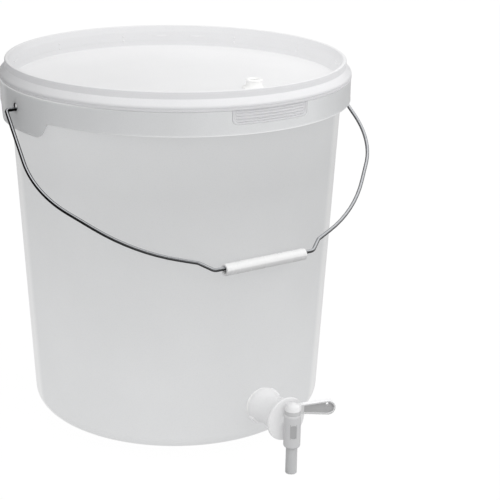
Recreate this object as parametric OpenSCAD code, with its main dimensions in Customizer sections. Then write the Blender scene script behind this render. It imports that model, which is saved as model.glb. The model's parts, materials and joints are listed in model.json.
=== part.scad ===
// Plastic fermenting bucket with snap-on lid, wire bail with a tube grip,
// airlock grommet in the lid and a lever tap low in the wall.
//
// Units are millimetres. +Z is up. The origin is the centre of the underside.
// The front, with the lid's pull tab and the tap, faces -Y. The bail's two
// ears are on +X and -X.

/* [Bucket] */
// Outer radius of the wall where its straight taper would meet the floor line
wall_r0 = 162.6; // [160:0.1:163]
// Outward taper of the wall, in millimetres of radius for each millimetre of height
wall_taper = 0.0491; // [0.045:0.0001:0.0495]
// Wall and floor thickness
wall_t = 2.0; // [1.6:0.1:2.2]
// Outer corner radius between floor and wall
corner_r = 16; // [9:0.1:20]
// Height of the rim that the lid seals on
rim_z = 387.0; // [384:0.5:387.5]

/* [Collar] */
// Outer radius of the stiffening collar below the lid
collar_r = 190.0; // [189.5:0.1:190.4]
// Thickness of the collar skirt
collar_t = 1.8; // [1.4:0.1:2]
// Lower edge of the collar away from the ears
collar_z0 = 352.0; // [349:0.5:355]
// Top of the collar, just below the lid's skirt
collar_z1 = 376.6; // [375:0.1:376.8]
// Lower edge of the collar at the two ears
ear_z0 = 335.5; // [334:0.5:346]
// Half width of an ear at its lower edge
ear_half_low = 47.0; // [40:0.5:52]
// Half width of an ear where it meets the collar's edge
ear_half_high = 57.5; // [54:0.5:64]
// Number of stiffening ribs between wall and collar, for each quarter
gussets = 3; // [1:1:4]

/* [Lid] */
// Outer radius of the lid's skirt
lid_r = 190.4; // [190:0.1:191]
// Outer radius of the raised stacking lip
lip_r = 184.4; // [183:0.1:185.5]
// Top of the stacking lip, which is the overall height
lip_z = 395.6; // [394:0.1:398]
// Upper face of the sunk floor of the lid
lid_floor_z = 372.0; // [371:0.1:373]
// Inner radius of the lid at its sunk floor
lid_floor_r = 177.0; // [170:0.1:177.2]
// Thickness of the lid's floor
lid_t = 2.0; // [1.4:0.1:2.2]
// Half width of the pull tab, as an angle round the rim
tab_half_angle = 13.3; // [8:0.1:18]
// Lower edge of the pull tab
tab_z0 = 362.8; // [359:0.1:368]

/* [Airlock grommet] */
// Distance of the grommet from the bucket's axis
grommet_d = 99.3; // [60:0.1:150]
// Angle of the grommet to the right of the front
grommet_angle = 25.0; // [-180:0.5:180]
// Radius of the bore for the airlock's stem
grommet_bore_r = 5.0; // [4:0.1:5.5]
// Height of the grommet above the lid's floor
grommet_h = 9.6; // [7:0.1:12]

/* [Bail] */
// Radius of the bail wire
wire_r = 2.0; // [1.6:0.1:2]
// Height of the bail's hinge line
hinge_z = 356.9; // [356.9:0.1:359]
// Rest angle of the bail, measured from straight down towards the front
bail_angle = 51.7; // [51.5:0.1:75]
// Outer radius of the grip tube
grip_r = 6.35; // [5.8:0.05:6.8]
// Bore radius of the grip tube
grip_bore_r = 3.7; // [3.6:0.05:4.2]
// Length of the grip tube
grip_len = 98; // [80:1:100]

/* [Tap] */
// Angle of the tap to the right of the front
tap_angle = 3.3; // [-20:0.1:20]
// Height of the tap's bore through the wall
tap_z = 43.7; // [40:0.1:80]
// Distance from the bucket's axis to the flat front of the bell disc
disc_at = 210.8; // [208:0.1:225]
// Radius of the bell disc
disc_r = 23.9; // [20:0.1:25]
// Radius of the flange at the wall
flange_r = 19.4; // [18:0.1:21]
// Radius of the waist between flange and disc
waist_r = 16.8; // [15:0.1:17.5]
// Outer radius of the upright barrel
barrel_r = 9.0; // [8.4:0.1:9.2]
// Bore radius of the upright barrel
barrel_bore_r = 7.05; // [6.9:0.05:7.1]
// Outer radius of the spout
spout_r = 6.1; // [5.6:0.1:6.1]
// Turn of the lever from its sideways stop
lever_turn = 28.0; // [0:0.5:90]
// Reach of the lever from the barrel's axis
lever_len = 45.0; // [36:0.5:55]

/* [Hidden] */
$fn = 96;
large_fn = 180;          // facets of the bucket, collar and lid
wire_fn = 32;            // facets round the bail wire
small_fn = 24;           // facets of pips and the hanging hole
gap = 0.02;              // working gap between pieces that rest together

function wall_r(z) = wall_r0 + wall_taper*z;
taper_angle = atan(wall_taper);
rim_r = wall_r(rim_z);
collar_in = collar_r - collar_t;
tab_half_w = collar_r*sin(tab_half_angle);

// distances along the tap's axis, from the bucket's axis
tap_wall_r = wall_r(tap_z);
washer_t = 2.4;                                   // both washers, at the wall's crown
flange_at = tap_wall_r + washer_t + 0.4;          // wall side of the flange
nut_face = tap_wall_r - wall_t - 1.4 - washer_t;  // wall side of the backnut
barrel_at = disc_at + 0.5 + barrel_r;             // axis of the upright barrel

// ---- helpers ----
// points of an arc in equal steps between two angles
function arc(center, radius, from, to, steps = 8) =
  [for (i = [0:steps]) let (a = from + (to - from)*i/steps)
    [center[0] + radius*cos(a), center[1] + radius*sin(a)]];

// cylinder along X, centred on the origin
module cross_pin(length, radius) {
  rotate([0, 90, 0]) cylinder(h = length, r = radius, center = true);
}

// the tap's frame: local +X runs outward along the tap's axis, local +Z is up
module at_tap(z = 0) {
  rotate([0, 0, tap_angle - 90]) translate([0, 0, z]) children();
}

// the upright barrel's axis, in the tap's frame
module at_barrel(z = 0) {
  at_tap(z) translate([barrel_at, 0, 0]) children();
}

// cylinder along the tap's horizontal axis
module tap_rod(start, length, radius) {
  at_tap(tap_z) translate([start, 0, 0]) rotate([0, 90, 0]) cylinder(h = length, r = radius);
}

// solid of revolution about the tap's horizontal axis; points are [distance, radius]
module tap_turned(points) {
  at_tap(tap_z) rotate([0, 90, 0]) rotate_extrude() polygon([for (p = points) [p[1], p[0]]]);
}

// solid cone of the lower bucket wall, with its radius grown by a margin
module wall_cone(margin) {
  low = -5;
  high = 120;
  translate([0, 0, low])
    cylinder(h = high - low, r1 = wall_r(low) + margin, r2 = wall_r(high) + margin, $fn = large_fn);
}

// slab across the front with rounded lower corners, for the pull tab and its window
module tab_slab(half_w, low_z, round_r) {
  center_z = low_z + round_r;
  top_z = 380;
  translate([0, -150, 0]) rotate([90, 0, 0]) linear_extrude(60)
    polygon(concat(
      arc([-half_w + round_r, center_z], round_r, 180, 270),
      arc([half_w - round_r, center_z], round_r, 270, 360),
      [[half_w, top_z], [-half_w, top_z]]));
}

// ---- bucket: shell, collar, ears and ribs, one moulding ----
groove_in = 112;         // shallow ring groove in the underside
groove_out = 143;
groove_h = 1.0;
ear_round = 7;           // lower corners of the ears
gusset_t = 1.4;
gusset_start = 18;       // ribs share this span of each quarter, in degrees
gusset_span = 54;
eye_at = 189;            // centre of the bail's eyes, from the bucket's axis
eye_depth = 8;
eye_entry_r = 4.2;
eye_entry_up = 2.3;      // centre of the entry above the hinge line
shank_hole_r = 13.6;     // hole in the wall for the tap's shank

module shell_profile() {
  corner_at = wall_r(corner_r) - corner_r/cos(taper_angle);
  floor_z = wall_t + groove_h + 0.2;
  polygon(concat(
    [[0, 0], [groove_in, 0], [groove_in + 1.5, groove_h], [groove_out - 1.5, groove_h],
     [groove_out, 0]],
    arc([corner_at, corner_r], corner_r, -90, -taper_angle, 12),
    [[wall_r(rim_z - 1), rim_z - 1], [rim_r - 0.5, rim_z - 0.1], [rim_r - 1.0, rim_z],
     [rim_r - wall_t + 0.6, rim_z], [rim_r - wall_t, rim_z - 0.8]],
    arc([corner_at, corner_r + groove_h*0.2], corner_r - wall_t, -taper_angle, -90, 12),
    [[groove_out - 4, floor_z], [groove_in + 4, floor_z], [groove_in, floor_z], [0, floor_z]]));
}

module collar_profile() {
  polygon([
    [wall_r(collar_z1 - 2) - 0.6, collar_z1 - 1.9], [collar_in - 1.2, collar_z1 - 1.9],
    [collar_in, collar_z1 - 3.2], [collar_in, collar_z0 + 1.2],
    [collar_in - 0.3, collar_z0 + 0.4], [collar_in + 0.2, collar_z0],
    [collar_r - 0.2, collar_z0], [collar_r + 0.25, collar_z0 + 0.35],
    [collar_r + 0.25, collar_z0 + 1.0], [collar_r, collar_z0 + 1.4],
    [collar_r, collar_z1 - 0.8], [collar_r - 0.8, collar_z1],
    [wall_r(collar_z1) - 0.6, collar_z1]]);
}

// outline of both ears, [along Y, height]
module ear_outline() {
  slope = atan((ear_half_high - ear_half_low)/(collar_z0 - ear_z0));
  center_y = ear_half_low - ear_round*0.75;
  center_z = ear_z0 + ear_round;
  top_half = ear_half_high + 3;
  polygon(concat(
    [[-top_half, collar_z0 + 6], [-top_half, collar_z0 + 2], [-ear_half_high, collar_z0 - 1]],
    arc([-center_y, center_z], ear_round, 180 + slope, 270),
    arc([center_y, center_z], ear_round, 270, 360 - slope),
    [[ear_half_high, collar_z0 - 1], [top_half, collar_z0 + 2], [top_half, collar_z0 + 6]]));
}

module ears() {
  intersection() {
    rotate([90, 0, 90]) translate([0, 0, -250]) linear_extrude(500) ear_outline();
    difference() {
      translate([0, 0, ear_z0 - 2])
        cylinder(h = collar_z0 + 3 - ear_z0, r = collar_r, $fn = large_fn);
      translate([0, 0, ear_z0 - 5])
        cylinder(h = collar_z0 + 12 - ear_z0, r = collar_in, $fn = large_fn);
    }
  }
}

// window in the collar that the lid's pull tab hangs in
module tab_window() {
  intersection() {
    tab_slab(tab_half_w + 0.9, tab_z0 - 0.8, 6);
    difference() {
      translate([0, 0, 350]) cylinder(h = 40, r = collar_r + 5, $fn = large_fn);
      translate([0, 0, 349]) cylinder(h = 42, r = wall_r(380) + 2.2, $fn = large_fn);
    }
  }
}

module gusset(angle) {
  inner = wall_r(360);
  low_z = collar_z0 + 6;
  rotate([0, 0, angle]) translate([inner - 0.4, -gusset_t/2, low_z])
    cube([collar_in - inner + 0.8, gusset_t, collar_z1 - 2.5 - low_z]);
}

module bucket_body() {
  color([0.93, 0.94, 0.94]) difference() {
    union() {
      rotate_extrude($fn = large_fn) shell_profile();
      rotate_extrude($fn = large_fn) collar_profile();
      ears();
      for (quarter = [0:3], i = [1:gussets])
        gusset(quarter*90 + gusset_start + i*gusset_span/(gussets + 1));
    }
    tab_window();
    // eyes for the bail: a round entry with a small seat for the wire
    for (side = [-1, 1]) {
      translate([side*eye_at, 0, hinge_z + eye_entry_up]) cross_pin(eye_depth, eye_entry_r);
      translate([side*eye_at, 0, hinge_z]) cross_pin(eye_depth, wire_r + 0.08);
    }
    tap_rod(140, 40, shank_hole_r);
  }
}

// ---- lid: sunk floor, stacking lip, skirt and pull tab, one moulding ----
lid_under_z = lid_floor_z - lid_t;
skirt_in = lid_r - 1.9;
skirt_z0 = collar_z1 + 0.4;
tab_face = lid_r - 1.0;              // outer face of the pull tab between its ribs
tab_ribs = 4;
tab_rib_pitch = 3.1;
// one rib of the pull tab: [outward from the face, down from the rib's top]
tab_rib = [[0, 0], [0.85, 0.7], [0.85, 1.5], [0, 2.2]];
pip_angles = [8, 37, 81, 110];       // each repeated half a turn on
pip_heights = [379, 384];
pip_r = 1.3;
bar_angles = [52, 66, 142, 156];     // each repeated half a turn on
bar_z = 383.6;
bar_size = [1.6, 18, 1.8];
grommet_hole_r = 7.1;

module lid_profile() {
  polygon(concat(
    // underside, from the axis out to the skirt
    [[0, lid_under_z], [lid_floor_r - 2.4, lid_under_z]],
    arc([lid_floor_r - 1.0, lid_floor_z + 0.4], 2.4, -90, -10, 5),
    [[lid_floor_r + 1.5, rim_z - 4], [lid_floor_r + 1.9, rim_z + 0.6],
     [lid_floor_r + 2.9, rim_z + 1.9], [lip_r - 2.0, rim_z + 2.0], [lip_r - 1.6, rim_z + 0.6],
     [lid_r - 3.1, lip_z - 13.4], [skirt_in, lip_z - 14.8], [skirt_in, skirt_z0],
     // outside of the skirt, with a fine groove
     [lid_r - 0.3, skirt_z0], [lid_r, collar_z1 + 0.8],
     [lid_r, collar_z1 + 2.6], [lid_r - 0.45, collar_z1 + 3.0], [lid_r, collar_z1 + 3.4]],
    // shoulder and stacking lip
    arc([lid_r - 4.0, lip_z - 15.4], 4.0, 0, 43, 6),
    arc([lip_r + 1.4, lip_z - 6.85], 1.4, 223, 180, 4),
    arc([lip_r - 1.7, lip_z - 1.7], 1.7, 0, 90, 6),
    arc([lip_r - 2.2, lip_z - 1.4], 1.4, 90, 172, 6),
    // inner wall, down to the sunk floor
    [[lid_floor_r + 0.6, rim_z + 1.4], [lid_floor_r + 0.1, lid_floor_z + 6.2],
     [lid_floor_r + 0.35, lid_floor_z + 5.8], [lid_floor_r, lid_floor_z + 1.4]],
    arc([lid_floor_r - 1.4, lid_floor_z + 1.4], 1.4, 0, -90, 4),
    [[0, lid_floor_z]]));
}

module pull_tab() {
  inner = lid_r - 2.2;
  edge = lid_r - 0.4;
  intersection() {
    tab_slab(tab_half_w, tab_z0, 5.2);
    rotate([0, 0, -90]) rotate_extrude(angle = 360, $fn = large_fn)
      polygon(concat(
        [[inner, tab_z0 - 2], [inner, collar_z1 + 3], [tab_face, collar_z1 + 3],
         [tab_face, skirt_z0]],
        [for (k = [0:tab_ribs - 1], p = tab_rib)
          [tab_face + p[0], collar_z1 - 0.9 - k*tab_rib_pitch - p[1]]],
        [[tab_face, tab_z0 + 0.6], [edge, tab_z0 + 0.3], [edge, tab_z0 - 2]]));
  }
}

module at_grommet() {
  rotate([0, 0, grommet_angle - 90]) translate([grommet_d, 0, 0]) children();
}

module lid() {
  color([0.95, 0.95, 0.955]) difference() {
    union() {
      rotate_extrude($fn = large_fn) lid_profile();
      pull_tab();
      // small moulded pips and bars round the inner wall above the sunk floor
      for (a = pip_angles, half = [0, 180], z = pip_heights)
        rotate([0, 0, a + half]) translate([lid_floor_r + 0.1, 0, z])
          cross_pin(1.6, pip_r, $fn = small_fn);
      for (a = bar_angles, half = [0, 180])
        rotate([0, 0, a + half]) translate([lid_floor_r, 0, bar_z]) cube(bar_size, center = true);
    }
    at_grommet() translate([0, 0, lid_under_z - 3]) cylinder(h = lid_t + 6, r = grommet_hole_r);
  }
}

// ---- airlock grommet ----
module airlock_grommet() {
  neck_r = grommet_hole_r - 0.1;
  foot_r = 9.6;
  top_z = lid_floor_z + grommet_h;
  color([0.94, 0.94, 0.93]) at_grommet() rotate_extrude()
    polygon(concat(
      [[grommet_bore_r, lid_under_z - 2.2], [foot_r - 1, lid_under_z - 2.2],
       [foot_r, lid_under_z - 1.2], [foot_r, lid_under_z - gap], [neck_r, lid_under_z - gap],
       [neck_r, lid_floor_z + gap], [12.2, lid_floor_z + gap], [12.7, lid_floor_z + 0.5],
       [12.5, lid_floor_z + 1.2]],
      arc([12.9, lid_floor_z + 5.8], 4.4, 260, 172),
      [[8.6, top_z - 2.2], [9.1, top_z - 1.5], [9.1, top_z - 0.6], [8.7, top_z - 0.1],
       [8.2, top_z], [6.2, top_z], [grommet_bore_r, top_z - 1.2]]));
}

// ---- bail: one planar bent wire, mirrored about its middle ----
grip_reach = 230.2;      // from the hinge line to the middle run
// corners of the right half in the bail's plane: [across, reach from hinge line, bend radius]
bail_points = [
  [184.2, -9, 0], [184.2, 0, 3], [200.2, 0, 3.4], [209.4, 105, 92],
  [135.7, 192.7, 190], [74, 218, 8], [60.45, grip_reach, 9], [0, grip_reach, 0]];
bail_last = len(bail_points) - 2;    // last bend, where the middle run starts
lap = 0.15;              // straight runs reach this far into the bends
bend_thin = 0.02;        // bends are this much smaller in radius than the runs
grip_step = 0.5;         // length of the narrower ends of the grip
grip_step_in = 0.35;

function unit(v) = v/norm(v);
function corner(i) = [bail_points[i][0], bail_points[i][1]];
// direction of the straight that arrives at corner i
function heading(i) = unit(corner(i) - corner(i - 1));
// signed bend angle at corner i
function turn(i) =
  let (a = heading(i), b = heading(i + 1))
  atan2(a[0]*b[1] - a[1]*b[0], a[0]*b[0] + a[1]*b[1]);
// length of straight that the bend takes up on each side of corner i
function bend_cut(i) = bail_points[i][2] == 0 ? 0 : bail_points[i][2]*tan(abs(turn(i))/2);

// straight wire between two points, extended at its start and by the lap at its end
module straight(from, to, start_lap = lap) {
  dir = unit(to - from);
  translate([from[0] - dir[0]*start_lap, from[1] - dir[1]*start_lap, 0])
    rotate([0, 0, atan2(dir[1], dir[0])]) rotate([0, 90, 0])
      cylinder(h = norm(to - from) + start_lap + lap, r = wire_r, $fn = wire_fn);
}

module bend(i) {
  angle = turn(i);
  radius = bail_points[i][2];
  dir = heading(i);
  side = angle > 0 ? 1 : -1;
  start = corner(i) - dir*bend_cut(i);
  center = start + side*radius*[-dir[1], dir[0]];
  start_angle = atan2(start[1] - center[1], start[0] - center[0]);
  translate([center[0], center[1], 0])
    rotate([0, 0, side > 0 ? start_angle : start_angle + angle])
      rotate_extrude(angle = abs(angle), $fn = 120)
        translate([radius, 0]) circle(r = wire_r - bend_thin, $fn = wire_fn);
}

module half_bail() {
  for (i = [1:bail_last])
    straight(corner(i - 1) + heading(i)*bend_cut(i - 1), corner(i) - heading(i)*bend_cut(i),
             i == 1 ? 0 : lap);
  for (i = [1:bail_last]) bend(i);
  // narrower cut end
  translate([corner(0)[0], corner(0)[1] - 0.5, 0]) rotate([-90, 0, 0])
    cylinder(h = 1, r = wire_r - 0.5, $fn = wire_fn);
}

// bail plane: local X across, local Y along the reach
module in_bail() {
  translate([0, 0, hinge_z]) rotate([-90 - bail_angle, 0, 0]) mirror([0, 0, 1]) children();
}

module bail_wire() {
  middle_half = corner(bail_last)[0] - bend_cut(bail_last);
  color([0.62, 0.63, 0.65]) in_bail() {
    half_bail();
    mirror([1, 0, 0]) half_bail();
    // middle run, under the grip
    straight([-middle_half, grip_reach], [middle_half, grip_reach]);
  }
}

// the tube hangs on the wire, so its axis is a little below the wire's
module bail_grip() {
  grip_y = -grip_reach*sin(bail_angle);
  grip_z = hinge_z - grip_reach*cos(bail_angle) - (grip_bore_r - wire_r - 0.1);
  color([0.96, 0.96, 0.96])
    translate([-grip_len/2, grip_y, grip_z]) rotate([0, 90, 0]) difference() {
      union() {
        cylinder(h = grip_len, r = grip_r - grip_step_in);
        translate([0, 0, grip_step]) cylinder(h = grip_len - 2*grip_step, r = grip_r);
      }
      translate([0, 0, -1]) cylinder(h = grip_len + 2, r = grip_bore_r);
    }
}

// ---- tap ----
barrel_z0 = 16.0;        // underside of the barrel
barrel_z1 = 53.8;        // top of the barrel, under the lever's hub
seat_z = 18.6;           // ledge that carries the plug
spout_z0 = -14.6;        // tip of the spout
shank_major = 13.2;      // radii over and between the thread ridges
shank_minor = 12.2;
shank_bore_r = 9.8;
thread_ridges = 5;
thread_pitch = 2.6;
// one ridge of the shank's thread: [along the shank, radius]
thread_ridge = [[0, shank_minor], [0.75, shank_major], [1.25, shank_major], [2.0, shank_minor]];
lug_size = [7.4, 10, 4.8];
inlet_r = 7;             // short tube between disc and barrel
inlet_bore_r = 4.4;
recess_angle = -29.3;    // recess in the barrel's outer side, from the tap's axis
recess_size = [4, 6.2, 15.1];
recess_z = 28.5;
recess_depth = 0.9;
washer_bore_r = 13.4;

// shank with thread ridges, flange, waist and flaring bell, then back along the inside
function tap_body_points() =
  let (shank_end = nut_face - 10.5, waist_at = flange_at + 16.5, flare_end = disc_at - 2.4)
  concat(
    [[shank_end, shank_bore_r], [shank_end, shank_minor - 0.4], [shank_end + 0.4, shank_minor]],
    [for (k = [0:thread_ridges - 1], p = thread_ridge)
      [shank_end + 1.2 + k*thread_pitch + p[0], p[1]]],
    [[flange_at, shank_minor], [flange_at, flange_r - 0.6], [flange_at + 0.6, flange_r],
     [flange_at + 3.4, flange_r], [flange_at + 5.4, flange_r - 0.35],
     [flange_at + 9.5, flange_r - 1.7], [flange_at + 13.5, waist_r + 0.35],
     [waist_at, waist_r]],
    [for (i = [1:8]) let (u = i/8)
      [waist_at + (flare_end - waist_at)*(1 - pow(1 - u, 1.25)),
       waist_r + (disc_r - waist_r)*pow(u, 1.9)]],
    [[disc_at - 0.7, disc_r], [disc_at - 0.2, disc_r - 0.3], [disc_at, disc_r - 0.9],
     [disc_at, 4.9], [disc_at - 2.8, 4.9], [disc_at - 2.8, waist_r - 1.5],
     [disc_at - 9, waist_r - 3.2], [flange_at + 15, waist_r - 3.6],
     [flange_at + 6, shank_bore_r]]);

module tap_body() {
  barrel_round = 2.4;
  color([0.93, 0.93, 0.93]) difference() {
    union() {
      tap_turned(tap_body_points());
      // grip lugs on the flange
      for (a = [131, 311])
        at_tap(tap_z) rotate([a, 0, 0])
          translate([flange_at + 0.1, -lug_size[1]/2, flange_r - 4.2]) cube(lug_size);
      // upright barrel with a rounded lower edge
      at_barrel() rotate_extrude() polygon(concat(
        [[0, barrel_z0]],
        arc([barrel_r - barrel_round, barrel_z0 + barrel_round], barrel_round, -90, 0, 6),
        [[barrel_r, barrel_z1 - 0.3], [barrel_r - 0.3, barrel_z1], [0, barrel_z1]]));
      tap_rod(disc_at - 1, 7, inlet_r);
    }
    // plug chamber, spout hole, horizontal inlet
    at_barrel(seat_z) cylinder(h = 60, r = barrel_bore_r);
    at_barrel() cylinder(h = 40, r = spout_r + 0.5);
    tap_rod(disc_at - 5, 10, inlet_bore_r);
    at_barrel() rotate([0, 0, recess_angle])
      translate([barrel_r - recess_depth, -recess_size[1]/2, recess_z]) cube(recess_size);
  }
}

stub_r = 4.6;            // stub on top of the plug, which carries the lever
stub_h = 7.4;            // above the barrel
stub_flat_at = 3.4;      // driving flat, from the stub's axis
plug_bore_top = 48.5;
plug_bore_r = 4.2;
port_r = 3.6;

// the lever's frame: local +X runs along the lever
module at_lever() {
  at_barrel() rotate([0, 0, 90 - lever_turn]) children();
}

// block beyond the driving flat, at a distance from the axis and above the barrel
module beyond_flat(distance, above) {
  translate([distance, -6, barrel_z1 + above]) cube([4, 12, 10]);
}

module tap_plug() {
  body_r = barrel_bore_r - 0.05;
  top_z = barrel_z1 - 0.4;
  stub_z = barrel_z1 + stub_h;
  color([0.86, 0.87, 0.87]) difference() {
    at_barrel() rotate_extrude() polygon([
      [0, spout_z0], [spout_r - 0.5, spout_z0], [spout_r, spout_z0 + 0.5],
      [spout_r, barrel_z0 - 0.4], [spout_r + 0.4, barrel_z0], [spout_r + 0.4, seat_z + gap],
      [body_r, seat_z + gap], [body_r, top_z], [stub_r, top_z],
      [stub_r, stub_z - 0.4], [stub_r - 0.4, stub_z], [0, stub_z]]);
    at_barrel(spout_z0 - 1) cylinder(h = plug_bore_top + 1 - spout_z0, r = plug_bore_r);
    // side port: faces the inlet when the lever points straight out
    at_lever() rotate([0, 0, 180]) translate([0, 0, tap_z]) rotate([0, 90, 0])
      cylinder(h = 12, r = port_r);
    // flat on the stub, so that the lever drives the plug
    at_lever() beyond_flat(stub_flat_at, 0.6);
  }
}

hub_r = 8.6;
dome_r = 6.0;            // rounding of the hub's shoulder
dome_z = 59.6;           // height where that rounding starts
blade_t = 6;
blade_mid = 59.9;        // height of the blade's middle
blade_down = 4.8;        // reach below and above the middle at the hub
blade_up = 3.9;
blade_tip_r = 8.1;
blade_tip_at = lever_len - blade_tip_r;
pocket_at = 2.8;         // middle of each pocket's cutter, from the blade's middle plane
pocket_cut = 3.4;        // thickness of that cutter

// side view of the lever's blade, [along its length, height], shrunk by an inset
module blade_outline(inset = 0, start = 0) {
  along = start/blade_tip_at;
  polygon(concat(
    [[start, blade_mid - blade_down*(1 - along) - blade_tip_r*along + inset]],
    arc([blade_tip_at, blade_mid + 0.1], blade_tip_r - inset, -84, 84, 16),
    [[start, blade_mid + blade_up*(1 - along) + blade_tip_r*along - inset]]));
}

// blade outline stood upright, with its thickness centred on the lever's length
module blade_plate(thickness, inset = 0, start = 0) {
  rotate([90, 0, 0]) translate([0, 0, -thickness/2]) linear_extrude(thickness)
    blade_outline(inset, start);
}

module lever_hub() {
  rotate_extrude() polygon(concat(
    [[0, barrel_z1 + 0.05], [hub_r - 0.4, barrel_z1 + 0.05], [hub_r, barrel_z1 + 0.5],
     [hub_r, dome_z - 0.2]],
    arc([hub_r - dome_r, dome_z], dome_r, 0, 60, 6),
    [for (i = [1:5]) let (u = i/5) [5.6*(1 - u), 64.8 + 1.8*(1 - pow(1 - u, 2))]]));
}

module tap_lever() {
  color([0.94, 0.94, 0.94]) at_lever() difference() {
    union() {
      lever_hub();
      // blade, and the flat-sided root that joins it to the hub
      intersection() {
        blade_plate(blade_t);
        translate([0, -blade_t/2, 40]) cube([80, blade_t, 40]);
      }
    }
    // shallow pocket on each face of the blade
    for (side = [-1, 1]) translate([0, side*pocket_at, 0]) blade_plate(pocket_cut, 2.0, 11.5);
    // hanging hole near the tip
    translate([blade_tip_at - 0.6, 0, blade_mid + 3.9]) rotate([90, 0, 0])
      cylinder(h = 20, r = 1.5, center = true, $fn = small_fn);
    // socket for the plug's stub, with its driving flat
    difference() {
      translate([0, 0, barrel_z1 - 1]) cylinder(h = 8.6, r = stub_r + 0.05);
      beyond_flat(stub_flat_at + 0.05, 0.7);
    }
  }
}

// the washers are curved to the wall on one side and flat on the other
module tap_outer_washer() {
  start = tap_wall_r - 6;
  color([0.97, 0.97, 0.97]) difference() {
    tap_rod(start, flange_at - gap - start, flange_r - 0.9);
    wall_cone(gap);
    tap_rod(tap_wall_r - 20, 40, washer_bore_r);
  }
}

module tap_inner_washer() {
  color([0.9, 0.9, 0.9]) intersection() {
    difference() {
      tap_rod(nut_face + gap, 12, 19);
      tap_rod(nut_face - 5, 40, washer_bore_r);
    }
    wall_cone(-wall_t/cos(taper_angle) - gap - 0.02);
  }
}

// round flange against the washer, with a hexagon behind it
module tap_backnut() {
  flange_t = 2.4;
  color([0.93, 0.93, 0.93]) difference() {
    union() {
      tap_rod(nut_face - flange_t, flange_t, 20.5);
      tap_rod(nut_face - 8.4, 7, 19.2, $fn = 6);
    }
    tap_rod(nut_face - 12, 20, shank_major + 0.05);
  }
}

bucket_body();
lid();
airlock_grommet();
bail_wire();
bail_grip();
tap_body();
tap_plug();
tap_lever();
tap_outer_washer();
tap_inner_washer();
tap_backnut();
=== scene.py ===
# A milky plastic fermenting bucket with a lid, an airlock grommet, a wire bail with a grip,
# and a tap. Lengths are in mm until they reach a mesh. The bucket stands on z = 0 with its
# axis on Z. The bail hinges at +X and -X and hangs toward -Y, the lid's pull tab is at -Y,
# and the tap points outward along TAP_AZ.
import json
import math

import bmesh
import bpy
import numpy as np
from mathutils import Matrix, Vector


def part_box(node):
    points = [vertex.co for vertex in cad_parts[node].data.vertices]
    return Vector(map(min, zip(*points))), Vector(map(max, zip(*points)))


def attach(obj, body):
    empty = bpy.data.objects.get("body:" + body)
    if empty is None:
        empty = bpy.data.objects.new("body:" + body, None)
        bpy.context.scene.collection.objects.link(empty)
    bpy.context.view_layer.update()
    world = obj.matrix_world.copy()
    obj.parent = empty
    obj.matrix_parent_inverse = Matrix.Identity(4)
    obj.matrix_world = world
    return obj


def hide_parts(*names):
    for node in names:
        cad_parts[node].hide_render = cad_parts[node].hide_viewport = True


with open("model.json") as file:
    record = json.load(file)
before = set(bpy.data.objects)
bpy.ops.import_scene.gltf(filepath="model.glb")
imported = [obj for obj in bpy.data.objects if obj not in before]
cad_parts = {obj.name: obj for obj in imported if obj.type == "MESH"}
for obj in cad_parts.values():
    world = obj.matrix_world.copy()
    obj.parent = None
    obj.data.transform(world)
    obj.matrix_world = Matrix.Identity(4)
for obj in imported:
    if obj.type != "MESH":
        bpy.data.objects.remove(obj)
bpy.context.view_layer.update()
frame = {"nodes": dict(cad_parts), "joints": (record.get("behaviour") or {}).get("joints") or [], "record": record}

MM = 0.001
scene = bpy.context.scene
joints = {joint["name"]: joint for joint in frame["joints"]}
mounts = {mount["name"]: mount for mount in frame["record"]["mounts"]}


# ---------------------------------------------------------------- measurements
def in_mm(values):
    return [value * 1000.0 for value in values]


def box(name):
    """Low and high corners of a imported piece, in mm."""
    return [in_mm(corner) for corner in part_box(name)]


def joint_at(name):
    return in_mm(joints[name]["pos_m"])


BUCKET_HI = box("bucket_body")[1]
LID_HI = box("lid")[1]
GROMMET_LO, GROMMET_HI = box("airlock_grommet")
GRIP_LO, GRIP_HI = box("bail_grip")
PLUG_LO = box("tap_plug")[0]

# bucket
RIM_Z = BUCKET_HI[2]
COLLAR_R = BUCKET_HI[0] - 0.25
COLLAR_T = 1.8
COLLAR_TOP = RIM_Z - 10.4
COLLAR_LOW = 352.0
EAR_LOW = 335.5                        # the collar dips to here under each hinge
BASE_R, TAPER, BASE_CORNER = 162.6, 0.0491, 16.0
WALL_T = 2.0
# lid
LID_R = LID_HI[0]                      # skirt
LIP_Z = LID_HI[2]                      # top of the stacking lip
LID_FLOOR = GROMMET_LO[2] + 4.2
TAB_HALF = COLLAR_R * math.sin(math.radians(13.3))     # half the pull tab's width
TAB_LOW = 362.8
GROMMET_X, GROMMET_Y = in_mm(mounts["airlock_bore"]["pos_m"][:2])
# bail
HINGE_Z = joint_at("bail_swing")[2]
EYE_Z = HINGE_Z + 2.3                  # centre of the eyes in the ears
GRIP_Y, GRIP_Z = joint_at("grip_spin")[1:]
# tap: the upright barrel's axis, and the height of the bore
BARREL_X, BARREL_Y, TAP_Z = joint_at("tap_turn")
BARREL_AT = math.hypot(BARREL_X, BARREL_Y)
TAP_AZ = math.atan2(BARREL_Y, BARREL_X)


def wall_r(z):
    return BASE_R + TAPER * z


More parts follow.
